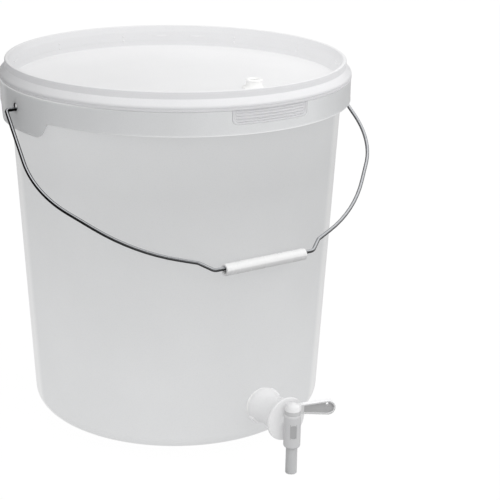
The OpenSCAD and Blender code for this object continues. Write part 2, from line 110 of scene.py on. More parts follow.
# ---------------------------------------------------------------- mesh helpers
def round_corners(corners, closed=False, steps=7):
    """Turns (a, b, radius) corners into a smooth polyline. A corner without radius stays sharp."""
    points = []
    count = len(corners)

    def radius_at(i):
        corner = corners[i % count]
        return corner[2] if len(corner) > 2 else 0

    for i, corner in enumerate(corners):
        radius = radius_at(i)
        if radius <= 0 or (not closed and i in (0, count - 1)):
            points.append(corner[:2])
            continue
        before, here, after = [np.array(corners[j % count][:2], float) for j in (i - 1, i, i + 1)]
        back, ahead = before - here, after - here
        back_len, ahead_len = np.linalg.norm(back), np.linalg.norm(ahead)
        back, ahead = back / back_len, ahead / ahead_len
        angle = math.acos(max(-1, min(1, float(back @ ahead))))
        if angle > math.pi - 1e-3:
            points.append(corner[:2])
            continue
        reach = radius / math.tan(angle / 2)
        # leave room for the neighbours' own curves
        room = min(max(0.495 * back_len, back_len - 1.5 * radius_at(i - 1) - 0.05),
                   max(0.495 * ahead_len, ahead_len - 1.5 * radius_at(i + 1) - 0.05))
        if reach > room:
            reach = room
            radius = reach * math.tan(angle / 2)
        bisector = (back + ahead) / np.linalg.norm(back + ahead)
        centre = here + bisector * (radius / math.sin(angle / 2))
        first, last = here + back * reach, here + ahead * reach
        start = math.atan2(*(first - centre)[::-1])
        end = math.atan2(*(last - centre)[::-1])
        sweep = (end - start + math.pi) % (2 * math.pi) - math.pi
        arcs = max(2, min(24, int(math.ceil(abs(sweep) / (math.pi / 2) * steps))))
        for j in range(arcs + 1):
            turn = start + sweep * j / arcs
            points.append((centre[0] + radius * math.cos(turn), centre[1] + radius * math.sin(turn)))
    return points


def subdivide(points, step, closed=False):
    """Splits the long pieces of a polyline into parts of about one step."""
    dense = []
    count = len(points)
    for i in range(count if closed else count - 1):
        (x0, y0), (x1, y1) = points[i], points[(i + 1) % count]
        parts = max(1, int(math.hypot(x1 - x0, y1 - y0) / step))
        for j in range(parts):
            dense.append((x0 + (x1 - x0) * j / parts, y0 + (y1 - y0) * j / parts))
    if not closed:
        dense.append(points[-1])
    return dense


def smooth(piece, sharp=38.0):
    mesh = piece.data
    mesh.polygons.foreach_set("use_smooth", [True] * len(mesh.polygons))
    mesh.set_sharp_from_angle(angle=math.radians(sharp))
    mesh.update()


def add_object(name, shape, sharp=38.0, fix_normals=True):
    if fix_normals:
        bmesh.ops.recalc_face_normals(shape, faces=shape.faces)
    mesh = bpy.data.meshes.new(name)
    shape.to_mesh(mesh)
    shape.free()
    piece = bpy.data.objects.new(name, mesh)
    scene.collection.objects.link(piece)
    smooth(piece, sharp)
    return piece


def revolve(name, profile, closed=False, azimuths=None, count=192, move=None, sharp=38.0):
    """Turns an (r, z) profile about Z. It runs from axis to axis, or is a closed ring.
    move(r, z, azimuth) may return a shifted point."""
    azimuths = azimuths or [2 * math.pi * i / count for i in range(count)]
    count = len(azimuths)
    shape = bmesh.new()
    rings = []
    for radius, z in profile:
        if radius < 1e-6:
            rings.append([shape.verts.new((0, 0, z * MM))])
            continue
        ring = []
        for azimuth in azimuths:
            out, up = move(radius, z, azimuth) if move else (radius, z)
            place = (out * math.cos(azimuth) * MM, out * math.sin(azimuth) * MM, up * MM)
            ring.append(shape.verts.new(place))
        rings.append(ring)
    for i in range(len(rings) if closed else len(rings) - 1):
        this, after = rings[i], rings[(i + 1) % len(rings)]
        for j in range(count):
            k = (j + 1) % count
            if len(this) == 1:
                shape.faces.new((this[0], after[j], after[k]))
            elif len(after) == 1:
                shape.faces.new((this[k], this[j], after[0]))
            else:
                shape.faces.new((this[j], after[j], after[k], this[k]))
    return add_object(name, shape, sharp)


def prism(name, outline, depth, placing):
    """Extrudes a closed XY outline from z = 0 to depth, then places it by a matrix."""
    shape = bmesh.new()
    low, high = [[shape.verts.new((x * MM, y * MM, z * MM)) for x, y in outline]
                 for z in (0, depth)]
    shape.faces.new(low[::-1])
    shape.faces.new(high)
    count = len(outline)
    for i in range(count):
        j = (i + 1) % count
        shape.faces.new((low[i], low[j], high[j], high[i]))
    shape.transform(placing)
    return add_object(name, shape)


def rod(name, start, end, radius, sides=64):
    start, end = Vector(start) * MM, Vector(end) * MM
    shape = bmesh.new()
    bmesh.ops.create_cone(shape, cap_ends=True, segments=sides, radius1=radius * MM,
                          radius2=radius * MM, depth=(end - start).length)
    turn = (end - start).to_track_quat("Z", "Y").to_matrix().to_4x4()
    shape.transform(Matrix.Translation((start + end) / 2) @ turn)
    return add_object(name, shape)


def bake(piece):
    """Applies the object's modifiers."""
    graph = bpy.context.evaluated_depsgraph_get()
    mesh = bpy.data.meshes.new_from_object(piece.evaluated_get(graph))
    piece.modifiers.clear()
    old = piece.data
    piece.data = mesh
    bpy.data.meshes.remove(old)


def turn_outward(piece):
    """Turns a closed mesh the right way out and tells whether it is closed."""
    shape = bmesh.new()
    shape.from_mesh(piece.data)
    bmesh.ops.recalc_face_normals(shape, faces=shape.faces)
    if shape.calc_volume(signed=True) < 0:
        bmesh.ops.reverse_faces(shape, faces=shape.faces)
    shape.to_mesh(piece.data)
    closed = all(edge.is_manifold for edge in shape.edges)
    shape.free()
    return closed


def boolean(piece, tool, operation="DIFFERENCE"):
    """Cuts the tool from the piece, or joins them, and removes the tool."""
    closed = turn_outward(piece) and turn_outward(tool)
    modifier = piece.modifiers.new("b", "BOOLEAN")
    modifier.object = tool
    modifier.operation = operation
    modifier.solver = "MANIFOLD" if closed else "EXACT"
    bake(piece)
    bpy.data.objects.remove(tool)


def join(pieces, name):
    shape = bmesh.new()
    for piece in pieces:
        shape.from_mesh(piece.data)
        bpy.data.objects.remove(piece)
    return add_object(name, shape, fix_normals=False)


def clean(piece, distance=1e-6):
    """Merges doubled points and drops loose ones."""
    shape = bmesh.new()
    shape.from_mesh(piece.data)
    bmesh.ops.remove_doubles(shape, verts=shape.verts, dist=distance)
    bmesh.ops.dissolve_degenerate(shape, edges=shape.edges, dist=distance)
    loose = [vert for vert in shape.verts if not vert.link_faces]
    bmesh.ops.delete(shape, geom=loose, context="VERTS")
    shape.to_mesh(piece.data)
    shape.free()
    piece.data.update()


def soften(piece, voxel, rounds):
    """Voxel remesh and smoothing, which leaves moulded fillets where shapes meet."""
    modifier = piece.modifiers.new("r", "REMESH")
    modifier.mode = "VOXEL"
    modifier.voxel_size = voxel * MM
    modifier.use_smooth_shade = True
    bake(piece)
    modifier = piece.modifiers.new("s", "SMOOTH")
    modifier.factor = 0.5
    modifier.iterations = rounds
    bake(piece)


def turn_z(angle):
    return Matrix.Rotation(angle, 4, "Z")


def shift(x, y, z):
    return Matrix.Translation((x * MM, y * MM, z * MM))


# an XY outline stands up in XZ, and its depth runs toward -Y
UPRIGHT = Matrix.Rotation(math.pi / 2, 4, "X")
QUARTER_Y = Matrix.Rotation(math.pi / 2, 4, "Y")
QUARTER_Z = turn_z(math.pi / 2)


def paint(piece, domain, shades):
    """Stores a painted light or shade level for each point or face, which the material multiplies in."""
    layer = piece.data.attributes.new("shade", "FLOAT", domain)
    layer.data.foreach_set("value", shades)


def set_material(piece, material):
    piece.data.materials.clear()
    piece.data.materials.append(material)


def install(piece, material, rides, replaces):
    """Gives a finished piece its material, attaches it to the body it rides on and hides the frame's piece it
    replaces.
    """
    set_material(piece, material)
    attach(piece, rides)
    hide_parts(replaces)


# ---------------------------------------------------------------- shader helpers
def opaque(shade):
    """A grey level or an RGB colour as RGBA."""
    return (*shade, 1) if isinstance(shade, tuple) else (shade, shade, shade, 1)


class Nodes:
    """Adds nodes to a shader tree. An input is a plain value, or a socket to link from."""

    def __init__(self, tree, coords="Object"):
        self.tree = tree
        tree.nodes.clear()
        self.place = self.add("TexCoord", output=coords)

    def add(self, kind, inputs=None, output=0, **settings):
        node = self.tree.nodes.new("ShaderNode" + kind)
        for key, value in settings.items():
            setattr(node, key, value)
        for key, value in (inputs or {}).items():
            if isinstance(value, bpy.types.NodeSocket):
                self.tree.links.new(value, node.inputs[key])
            else:
                node.inputs[key].default_value = value
        return node.outputs[output]

    def finish(self, surface, kind="Material"):
        node = self.tree.nodes.new("ShaderNodeOutput" + kind)
        self.tree.links.new(surface, node.inputs["Surface"])

    def calc(self, operation, *inputs):
        return self.add("Math", dict(enumerate(inputs)), operation=operation)

    def times(self, first, second):
        return self.calc("MULTIPLY", first, second)

    def larger(self, first, second):
        return self.calc("MAXIMUM", first, second)

    def noise(self, vector=None, **inputs):
        return self.add("TexNoise", {"Vector": vector or self.place, **inputs}, "Fac")

    def ramp(self, value, stops):
        """Stops are (position, grey level or RGB)."""
        colour = self.add("ValToRGB", {"Fac": value}, "Color")
        elements = colour.node.color_ramp.elements
        elements.remove(elements[-1])
        elements[0].position = stops[0][0]
        elements[0].color = opaque(stops[0][1])
        for position, shade in stops[1:]:
            elements.new(position).color = opaque(shade)
        return colour

    def mix(self, factor, first, second, blend="MIX"):
        inputs = {0: factor, 6: first, 7: second}
        return self.add("Mix", inputs, 2, data_type="RGBA", blend_type=blend)

    def multiply(self, factor, first, second):
        return self.mix(factor, first, second, "MULTIPLY")

    def darker(self, colour, mask, shade):
        """Multiplies the shade in, at full strength, where the mask is 1."""
        return self.multiply(self.times(mask, 1.0), colour, opaque(shade))

    def mix_shader(self, factor, first, second):
        return self.add("MixShader", {"Fac": factor, 1: first, 2: second})

    def span(self, value, start, end, low=0.0, high=1.0, curve="LINEAR"):
        """Maps start..end to low..high."""
        inputs = {"Value": value, "From Min": start, "From Max": end, "To Min": low, "To Max": high}
        return self.add("MapRange", inputs, "Result", interpolation_type=curve)

    def step(self, value, start, end, low=0.0, high=1.0):
        return self.span(value, start, end, low, high, "SMOOTHSTEP")

    def dot(self, vector, direction):
        inputs = {0: vector, 1: direction}
        return self.add("VectorMath", inputs, "Value", operation="DOT_PRODUCT")

    def split(self, vector):
        return self.add("SeparateXYZ", {0: vector}).node.outputs

    def radius(self, centre=(0, 0)):
        """Distance from an upright axis, and the x, y and z sockets."""
        place = self.split(self.place)
        level = {i: self.calc("SUBTRACT", place[i], centre[i]) for i in (0, 1)}
        flat = self.add("CombineXYZ", level)
        return self.add("VectorMath", {0: flat}, "Value", operation="LENGTH"), place

    def bump(self, height, strength, distance, **normal):
        inputs = {"Height": height, "Strength": strength, "Distance": distance, **normal}
        return self.add("Bump", inputs, "Normal")


def new_material(name):
    material = bpy.data.materials.new(name)
    material.use_nodes = True
    return material, Nodes(material.node_tree)


# ---------------------------------------------------------------- masks and painted light and shade, in metres
RIGHT = (0.836, -0.549, 0.0)            # level, to the camera's right, the brighter side
BACK = (0.549, 0.836, 0.0)              # level, away from the camera
ON_COLLAR = {"start": 0.1842, "end": 0.1868}      # radii between the wall and the collar
OFF_COLLAR = {"start": 0.1868, "end": 0.1842}
# painted glow of the wall, a stand-in for light, from the base up to just under the collar
WALL_GLOW = [(0.0, 0.86), (0.35, 0.79), (0.8, 0.67), (0.97, 0.72)]
WALL_LEAN = 0.06                        # extra glow of the wall on the camera's left
EDGE_LIFT = 0.2                         # extra glow of the collar's bright edges
COLLAR_GLOW, COLLAR_LIFT = 0.40, 0.25   # share of glow on the collar, and its extra brightness


def across(nodes):
    """Place along RIGHT."""
    return nodes.dot(nodes.place, RIGHT)


def away(nodes):
    """Place along BACK."""
    return nodes.dot(nodes.place, BACK)


def bright_lines(nodes):
    """Painted highlights on thin edges that catch the light: the bead along the collar's lower
    edge on the camera's right, and the collar's upper edge on its left."""
    radius, place = nodes.radius()
    z, side = place[2], across(nodes)
    bead = nodes.times(
        nodes.times(nodes.step(radius, start=0.19005, end=0.19018),
                    nodes.step(side, start=-0.10, end=0.0)),
        nodes.step(z, start=(COLLAR_LOW + 1.5) * MM, end=(COLLAR_LOW + 0.9) * MM))
    top = nodes.times(
        nodes.times(nodes.step(radius, start=0.1868, end=0.1874),
                    nodes.step(side, start=-0.02, end=-0.12)),
        nodes.step(z, start=(COLLAR_TOP - 1.3) * MM, end=(COLLAR_TOP - 0.9) * MM))
    return nodes.calc("ADD", bead, top)


def off_collar(nodes):
    """Share of painted glow: 1 on the bucket's wall, low on the collar and none on its front at the camera's left,
    and high again on its painted bright edges.
    """
    radius, _ = nodes.radius()
    side = nodes.larger(nodes.step(across(nodes), start=-0.17, end=0.06),
                        nodes.step(away(nodes), start=0.02, end=0.11))
    lit = nodes.times(side, COLLAR_GLOW)
    share = nodes.step(radius, **OFF_COLLAR, low=lit)
    return nodes.larger(share, bright_lines(nodes))


def pale_edges(nodes):
    """Where the painted rim light goes: 1 on the wall and on the collar's left, where edge-on views are paler."""
    radius, _ = nodes.radius()
    return nodes.larger(nodes.step(radius, **OFF_COLLAR),
                        nodes.step(across(nodes), start=0.1, end=0.0))


def wall_level(nodes):
    """Level of the bucket's painted glow: brighter low down, and again just under the collar."""
    height = nodes.span(nodes.split(nodes.place)[2], start=0.0, end=0.36)
    by_height = nodes.ramp(height, WALL_GLOW)
    lean = nodes.span(across(nodes), start=-0.19, end=0.19, low=1.0 + WALL_LEAN,
                      high=1.0 - WALL_LEAN)
    level = nodes.times(by_height, lean)
    radius, _ = nodes.radius()
    level = nodes.calc("MULTIPLY_ADD", bright_lines(nodes), EDGE_LIFT, level)
    collar = nodes.times(nodes.step(radius, **ON_COLLAR),
                         nodes.step(across(nodes), start=-0.08, end=0.14))
    return nodes.calc("MULTIPLY_ADD", collar, COLLAR_LIFT, level)


def side_fade(nodes, stops):
    """Painted shade that runs from the far left, 0, to the far right, 1."""
    return nodes.ramp(nodes.span(across(nodes), start=-0.2, end=0.2), stops)


def bucket_painted_shade(nodes, colour):
    """Painted light and shade: the collar shaded from side to side, darkest at the camera's left, and painted
    shade inside and round the two eyes.
    """
    radius, place = nodes.radius()
    on_collar = nodes.step(radius, **ON_COLLAR)
    fade = side_fade(nodes, [(0.02, 0.64), (0.07, 0.83), (0.15, 0.87), (0.27, 0.94), (0.42, 0.98),
                             (0.5, 0.98), (0.6, 1.0), (0.86, 1.0), (0.95, 0.86)])
    colour = nodes.multiply(on_collar, colour, fade)
    side_view = nodes.add("CombineXYZ", {0: place[1], 1: place[2]})
    from_eye = nodes.add("VectorMath", {0: side_view, 1: (0.0, EYE_Z * MM, 0.0)}, "Value",
                         operation="DISTANCE")
    outward = nodes.calc("ABSOLUTE", place[0])
    inside = nodes.times(nodes.step(from_eye, start=0.0072, end=0.0044),
                         nodes.times(nodes.step(outward, start=0.176, end=0.177),
                                     nodes.step(outward, start=0.1894, end=0.1889)))
    rim = nodes.times(nodes.step(from_eye, start=0.0047, end=0.0043),
                      nodes.step(outward, start=0.186, end=0.187))
    return nodes.darker(colour, nodes.larger(inside, rim), shade=0.12)


def on_top(nodes):
    """Where the lid's painted glow goes: 1 on its floor and lip, 0 on its skirt."""
    return nodes.step(nodes.radius()[0], start=0.1845, end=0.1828)


def top_level(nodes):
    """The lid's painted glow, which grows from 0.91 on the axis by 0.95 per metre to the right."""
    return nodes.calc("MULTIPLY_ADD", across(nodes), 0.95, 0.91)


def lid_painted_shade(nodes, colour):
    """Painted shade: greyer on the skirt, the pull tab, the lip's outside and the sunk wall."""
    radius, place = nodes.radius()
    skirt = nodes.times(nodes.step(radius, start=0.1868, end=0.1876),
                        nodes.step(place[2], start=0.3835, end=0.381))
    colour = nodes.darker(colour, skirt, shade=(0.9, 0.9, 0.905))
    outside = nodes.step(radius, start=0.1836, end=0.1842)
    colour = nodes.darker(colour, outside, shade=(0.93, 0.93, 0.935))
    lip = nodes.times(nodes.step(radius, start=0.1832, end=0.1841),
                      nodes.step(radius, start=0.1846, end=0.1843))
    colour = nodes.darker(colour, lip, shade=(0.84, 0.84, 0.845))
    # its outer side turns away from the light at the far left
    fade = side_fade(nodes, [(0.02, 0.78), (0.08, 0.85), (0.2, 0.93), (0.38, 0.98), (0.55, 1.0)])
    outer = nodes.times(nodes.step(radius, start=0.1832, end=0.1843),
                        nodes.step(away(nodes), start=0.1, end=0.03))
    colour = nodes.multiply(outer, colour, fade)
    sunk = nodes.times(nodes.step(radius, start=0.1764, end=0.1769),
                       nodes.step(radius, start=0.1808, end=0.1803))
    return nodes.darker(colour, sunk, shade=(0.92, 0.92, 0.925))


def tap_level(nodes):
    """An even painted glow that lifts the tap's shade."""
    value = nodes.add("Value")
    value.default_value = 0.95
    return value


def tap_painted_shade(nodes, colour):
    """Painted shade: greyer down the barrel."""
    radius, place = nodes.radius((BARREL_X * MM, BARREL_Y * MM))
    barrel = nodes.times(nodes.step(radius, start=0.0095, end=0.0088),
                         nodes.step(place[2], start=0.056, end=0.050))
    return nodes.darker(colour, barrel, shade=(0.7, 0.7, 0.705))


def grip_painted_shade(nodes, colour):
    """Painted shade: greyer on the side that faces down."""
    upward = nodes.split(nodes.add("NewGeometry", output="Normal"))[2]
    down = nodes.step(upward, start=0.3, end=-0.1)
    return nodes.darker(colour, down, shade=(0.74, 0.74, 0.745))


# ---------------------------------------------------------------- materials
def plastic_colour(nodes, colour, mottle, painted_light, shade):
    """Cloudy, finely specked colour, with optional painted light and shade from a function and from a painted
    shade attribute.
    """
    dark = tuple(value * (1 - mottle) for value in colour)
    light = tuple(min(1, value * (1 + mottle * 0.6)) for value in colour)
    cloud = nodes.noise(Scale=9.0, Detail=4.0, Roughness=0.55)
    cloudy = nodes.ramp(cloud, [(0.3, dark), (0.7, light)])
    specks = nodes.ramp(nodes.noise(Scale=900.0, Detail=2.0), [(0.25, 0.965), (0.5, 1.0)])
    result = nodes.multiply(1.0, cloudy, specks)
    # painted light and shade, multiplied into the colour by the part's own function
    if painted_light:
        result = painted_light(nodes, result)
    if shade:
        painted = nodes.add("Attribute", output="Fac", attribute_name="shade")
        result = nodes.multiply(1.0, result, painted)
    return result


def moulded(name, colour, through, rough, edge, mottle, edge_at=(0.55, 0.97), edge_mask=None,
            peel_scale=900, clear=0.15, flow=0.0, painted_light=None, shade=False, glow=0.0,
            glow_mask=None, glow_level=None):
    """Milky injection-moulded plastic.
    through: share of light passing the wall    rough: range of roughness
    edge, edge_at, edge_mask: painted rim light, a paler look where seen edge on
    mottle: cloudiness    peel_scale: orange peel    clear: gloss coat    flow: flow lines
    glow, glow_mask, glow_level: painted glow, a stand-in for light scattered inside the hollow part"""
    material, nodes = new_material(name)
    colour = plastic_colour(nodes, colour, mottle, painted_light, shade)
    # painted rim light: edge-on views look through more plastic and pick up the pale surroundings
    facing = nodes.add("LayerWeight", {"Blend": 0.32}, "Facing")
    pale = nodes.ramp(facing, [(edge_at[0], 0.0), (edge_at[1], edge)])
    if edge_mask:
        pale = nodes.times(pale, edge_mask(nodes))
    colour = nodes.mix(pale, colour, opaque(0.97))
    # gloss and bump: upright flow lines, and a fine orange peel
    stretched = nodes.add("Mapping", {"Vector": nodes.place, "Scale": (38, 38, 2.2)})
    lines = nodes.noise(stretched, Scale=1.6, Detail=5.0, Roughness=0.6)
    roughness = nodes.ramp(lines, [(0.3, rough[0]), (0.72, rough[1])])
    peel = nodes.noise(Scale=peel_scale, Detail=3.0)
    normal = nodes.bump(peel, strength=0.6, distance=0.00006)
    normal = nodes.bump(lines, strength=flow, distance=0.0003, Normal=normal)
    solid = nodes.add("BsdfPrincipled", {
        "IOR": 1.49, "Specular IOR Level": 0.42, "Coat Weight": clear, "Coat Roughness": 0.22,
        "Base Color": colour, "Roughness": roughness, "Normal": normal})
    thin = nodes.add("BsdfTranslucent", {"Color": colour, "Normal": normal})
    surface = nodes.mix_shader(through, solid, thin)
    # painted glow: an emission mixed in as a stand-in for light
    if glow:
        inner = nodes.add("Emission", {"Color": colour, "Strength": glow_level(nodes)})
        amount = nodes.times(glow_mask(nodes), glow) if glow_mask else glow
        surface = nodes.mix_shader(amount, surface, inner)
    nodes.finish(surface)
    return material


def rubber(name, colour):
    """Soft matt silicone with a faint grain."""
    material, nodes = new_material(name)
    patches = nodes.noise(Scale=60.0, Detail=5.0)
    dark = tuple(value * 0.95 for value in colour)
    grain = nodes.noise(Scale=1500.0, Detail=2.0)
    nodes.finish(nodes.add("BsdfPrincipled", {
        "Subsurface Weight": 0.15, "Subsurface Radius": (0.004, 0.004, 0.004),
        "Subsurface Scale": 1.0, "Sheen Weight": 0.1,
        "Base Color": nodes.ramp(patches, [(0.3, dark), (0.7, colour)]),
        "Roughness": nodes.ramp(patches, [(0.3, 0.45), (0.7, 0.62)]),
        "Normal": nodes.bump(grain, strength=0.5, distance=0.00004)}))
    return material


# painted reflection in the wire's colour: what the wire would mirror, by where its surface faces
LEFT_BY_SIDE = [(0.0, 0.01), (0.36, 0.012), (0.46, 0.5), (0.52, 1.0), (0.64, 1.0), (0.76, 0.2),
                (1.0, 0.1)]             # wire on the camera's left: facing left 0, right 1
RIGHT_BY_SIDE = [(0.0, 0.22), (0.22, 0.36), (0.36, 0.85), (0.45, 1.0), (0.62, 1.0), (0.8, 0.45),
                 (1.0, 0.25)]           # wire on the camera's right, likewise
LEFT_BY_UP = [(0.3, 0.06), (0.6, 0.5), (0.68, 1.0)]      # by the normal's z
RIGHT_BY_UP = [(0.0, 0.1), (0.28, 1.0)]


def wire_painted_reflection(nodes):
    """Painted reflection of a dark side of the room and the soft boxes opposite, in the wire's colour."""
    normal = nodes.add("NewGeometry", output="Normal")
    sideways = nodes.span(nodes.dot(normal, RIGHT), start=-1.0, end=1.0)
    upward = nodes.split(normal)[2]
    left, right = [nodes.multiply(1.0, nodes.ramp(sideways, by_side), nodes.ramp(upward, by_up))
                   for by_side, by_up in ((LEFT_BY_SIDE, LEFT_BY_UP), (RIGHT_BY_SIDE, RIGHT_BY_UP))]
    mirrored = nodes.mix(nodes.step(across(nodes), start=-0.1, end=0.08), left, right)
    # facing the back the painted reflection gives way to plain steel
    facing_back = nodes.step(nodes.dot(normal, BACK), start=0.05, end=0.6)
    return nodes.mix(facing_back, mirrored, opaque(1))


def steel(name):
    """Bright zinc-plated drawn wire: lengthwise drawing marks, spangle, dull patches and a painted reflection."""
    material, nodes = new_material(name)
    along = nodes.add("UVMap", output="UV", uv_map="along")
    stretched = nodes.add("Mapping", {"Vector": along, "Scale": (6.0, 260.0, 1.0)})
    marks = nodes.noise(stretched, Scale=1.0, Detail=3.0)
    spangle = nodes.add("TexVoronoi", {"Vector": nodes.place, "Scale": 520.0}, "Distance")
    zinc = nodes.ramp(spangle, [(0.0, (0.56, 0.57, 0.59)), (1.0, (0.64, 0.65, 0.67))])
    patches = nodes.noise(Scale=45.0, Detail=6.0)
    nodes.finish(nodes.add("BsdfPrincipled", {
        "Metallic": 1.0,
        "Base Color": nodes.multiply(1.0, zinc, wire_painted_reflection(nodes)),
        "Roughness": nodes.ramp(patches, [(0.35, 0.2), (0.7, 0.32)]),
        "Normal": nodes.bump(marks, strength=0.35, distance=0.00002)}))
    return material


BUCKET_PLASTIC = moulded(
    "bucket_milky_pp", (0.86, 0.865, 0.87), through=0.6, rough=(0.3, 0.46), edge=1.0,
    edge_at=(0.57, 0.65), edge_mask=pale_edges, peel_scale=420.0, flow=0.05, mottle=0.02,
    painted_light=bucket_painted_shade, glow=0.55, glow_mask=off_collar, glow_level=wall_level)
LID_PLASTIC = moulded(
    "lid_milky_pp", (0.93, 0.93, 0.935), through=0.3, rough=(0.33, 0.5), edge=0.12,
    peel_scale=420.0, mottle=0.015, painted_light=lid_painted_shade, glow=0.4, glow_mask=on_top,
    glow_level=top_level)
TAP_PLASTIC = moulded(
    "tap_natural_pp", (0.85, 0.85, 0.855), through=0.25, rough=(0.26, 0.4), edge=0.04,
    mottle=0.03, painted_light=tap_painted_shade, shade=True, glow=0.2, glow_level=tap_level)
NUT_PLASTIC = moulded(
    "nut_natural_pp", (0.88, 0.88, 0.885), through=0.25, rough=(0.26, 0.4), edge=0.2,
    mottle=0.03)
# the plug's darker grey than the lever is painted shade on the spout and post
PLUG_PLASTIC = moulded(
    "plug_pp_painted_shade", (0.62, 0.625, 0.63), through=0.25, rough=(0.3, 0.45), edge=0.2,
    mottle=0.04)
LEVER_PLASTIC = moulded(
    "lever_white_pp", (0.84, 0.84, 0.845), through=0.15, rough=(0.25, 0.38), edge=0.3,
    mottle=0.03, shade=True)
GRIP_PLASTIC = moulded(
    "grip_white_pe", (0.84, 0.84, 0.84), through=0.12, rough=(0.22, 0.36), edge=0.05,
    painted_light=grip_painted_shade, peel_scale=600, mottle=0.02, clear=0.3)
GROMMET_RUBBER = rubber("grommet_silicone", (0.9, 0.9, 0.89))
WASHER_RUBBER = rubber("washer_silicone", (0.93, 0.93, 0.92))
BAIL_STEEL = steel("bail_zinc_plated")


# ---------------------------------------------------------------- bucket
COLLAR_IN = COLLAR_R - COLLAR_T        # inner face of the collar
# lower edge of the collar: distance sideways from the hinge, height, corner radius
EAR_Y, EAR_Z = zip(*round_corners(
    [(0, EAR_LOW), (45.4, EAR_LOW, 12.0), (56.5, COLLAR_LOW, 3.0), (110, COLLAR_LOW)], steps=10))
RIB_T = 1.4


def bucket_profile():
    """The (r, z) outline, and the points of it that follow the collar's lower edge."""
    outside = round_corners([
        (0, 0), (112, 0, 0.4), (113.5, 1.0, 0.4), (141.5, 1.0, 0.4), (143, 0, 0.4),
        (BASE_R, 0, BASE_CORNER), (wall_r(COLLAR_TOP - 2.6), COLLAR_TOP - 2.6, 1.4),
        (COLLAR_IN, COLLAR_TOP - 2.2, 1.6)], steps=9)
    wall = []
    for i, point in enumerate(outside):
        wall.append(point)
        if i + 1 < len(outside) and outside[i + 1][1] - point[1] > 100:
            after = outside[i + 1]
            for k in range(1, 30):
                part = k / 30
                wall.append((point[0] + (after[0] - point[0]) * part,
                             point[1] + (after[1] - point[1]) * part))
    bead_r = COLLAR_R + 0.24
    edge = round_corners([
        (COLLAR_IN, COLLAR_LOW + 4), (COLLAR_IN, COLLAR_LOW + 0.8, 0.4),
        (COLLAR_IN - 0.1, COLLAR_LOW, 0.35), (bead_r, COLLAR_LOW, 0.5),
        (bead_r, COLLAR_LOW + 1.3, 0.4), (COLLAR_R, COLLAR_LOW + 1.8, 0.4),
        (COLLAR_R, COLLAR_LOW + 5)], steps=5)
    top_and_inside = round_corners([
        (COLLAR_R, COLLAR_TOP - 4), (COLLAR_R, COLLAR_TOP, 1.0),
        (wall_r(COLLAR_TOP) + 0.1, COLLAR_TOP, 1.2), (wall_r(RIM_Z), RIM_Z, 0.9),
        (wall_r(RIM_Z) - WALL_T, RIM_Z, 0.9), (wall_r(120) - WALL_T, 120),
        (wall_r(2.2) - WALL_T, 2.2, BASE_CORNER - 2), (0, 2.2)], steps=9)
    return wall + edge + top_and_inside, set(edge)


def bucket_azimuths():
    """Fine steps round the ears at +X and -X, coarse ones between."""
    azimuths = []
    degrees = 0.0
    while degrees < 360 - 1e-9:
        azimuths.append(math.radians(degrees))
        from_ear = min(abs((degrees + 180) % 360 - 180), abs(degrees - 180))
        degrees += 0.25 if from_ear < 21 else 1.0
    return azimuths


def collar_ribs():
    """Three upright ribs in each quarter, between the wall and the collar."""
    start = wall_r(360) - 0.5
    reach = COLLAR_IN + 0.5 - start
    outline = [(0, COLLAR_LOW + 9), (reach, COLLAR_LOW + 6), (reach, COLLAR_TOP - 2),
               (0, COLLAR_TOP - 2)]
    ribs = []
    for quarter in range(4):
        for i in (1, 2, 3):
            azimuth = math.radians(quarter * 90 + 18 + i * 54 / 4)
            placing = turn_z(azimuth) @ shift(start, RIB_T / 2, 0) @ UPRIGHT
            ribs.append(prism("rib", outline, RIB_T, placing))
    return join(ribs, "ribs")


def tab_window():
    """The opening in the collar behind the pull tab."""
    half, low = TAB_HALF + 0.9, TAB_LOW - 0.8
    outline = round_corners([(-half, 383), (-half, low, 6), (half, low, 6), (half, 383)], steps=8)
    window = prism("window", outline, 60, shift(0, -150, 0) @ UPRIGHT)
    core_r = wall_r(380) + 2.2
    core = revolve("core", [(0, 340), (core_r, 340), (core_r, 400), (0, 400)], count=360)
    boolean(window, core)
    return window


def make_bucket():
    profile, edge = bucket_profile()

    def follow_ears(radius, z, azimuth):
        if (radius, z) in edge:
            low = float(np.interp(abs(math.sin(azimuth)) * COLLAR_R, EAR_Y, EAR_Z))
            return radius, z + low - COLLAR_LOW
        return radius, z

    bucket = revolve("bucket_shell", profile, azimuths=bucket_azimuths(), move=follow_ears)
    boolean(bucket, collar_ribs(), "UNION")
    boolean(bucket, tab_window())
    # eyes for the bail, with the small seat the wire lies in
    for side in (-1, 1):
        for name, z, radius, sides in (("eye", EYE_Z, 4.2, 64), ("seat", HINGE_Z, 2.09, 48)):
            boolean(bucket, rod(name, (side * 185, 0, z), (side * 194, 0, z), radius, sides))
    # hole for the tap
    outward = Vector((math.cos(TAP_AZ), math.sin(TAP_AZ), 0))
    height = Vector((0, 0, TAP_Z))
    boolean(bucket, rod("hole", outward * 140 + height, outward * 180 + height, 13.6, 96))
    clean(bucket)
    smooth(bucket, 36)
    return bucket


install(make_bucket(), BUCKET_PLASTIC, "bucket", "bucket_body")

# ---------------------------------------------------------------- lid
SUNK_R = 177.0                         # inside of the sunk wall at the floor
LIP_R = 184.4
LIP_IN = LIP_R - 3.7


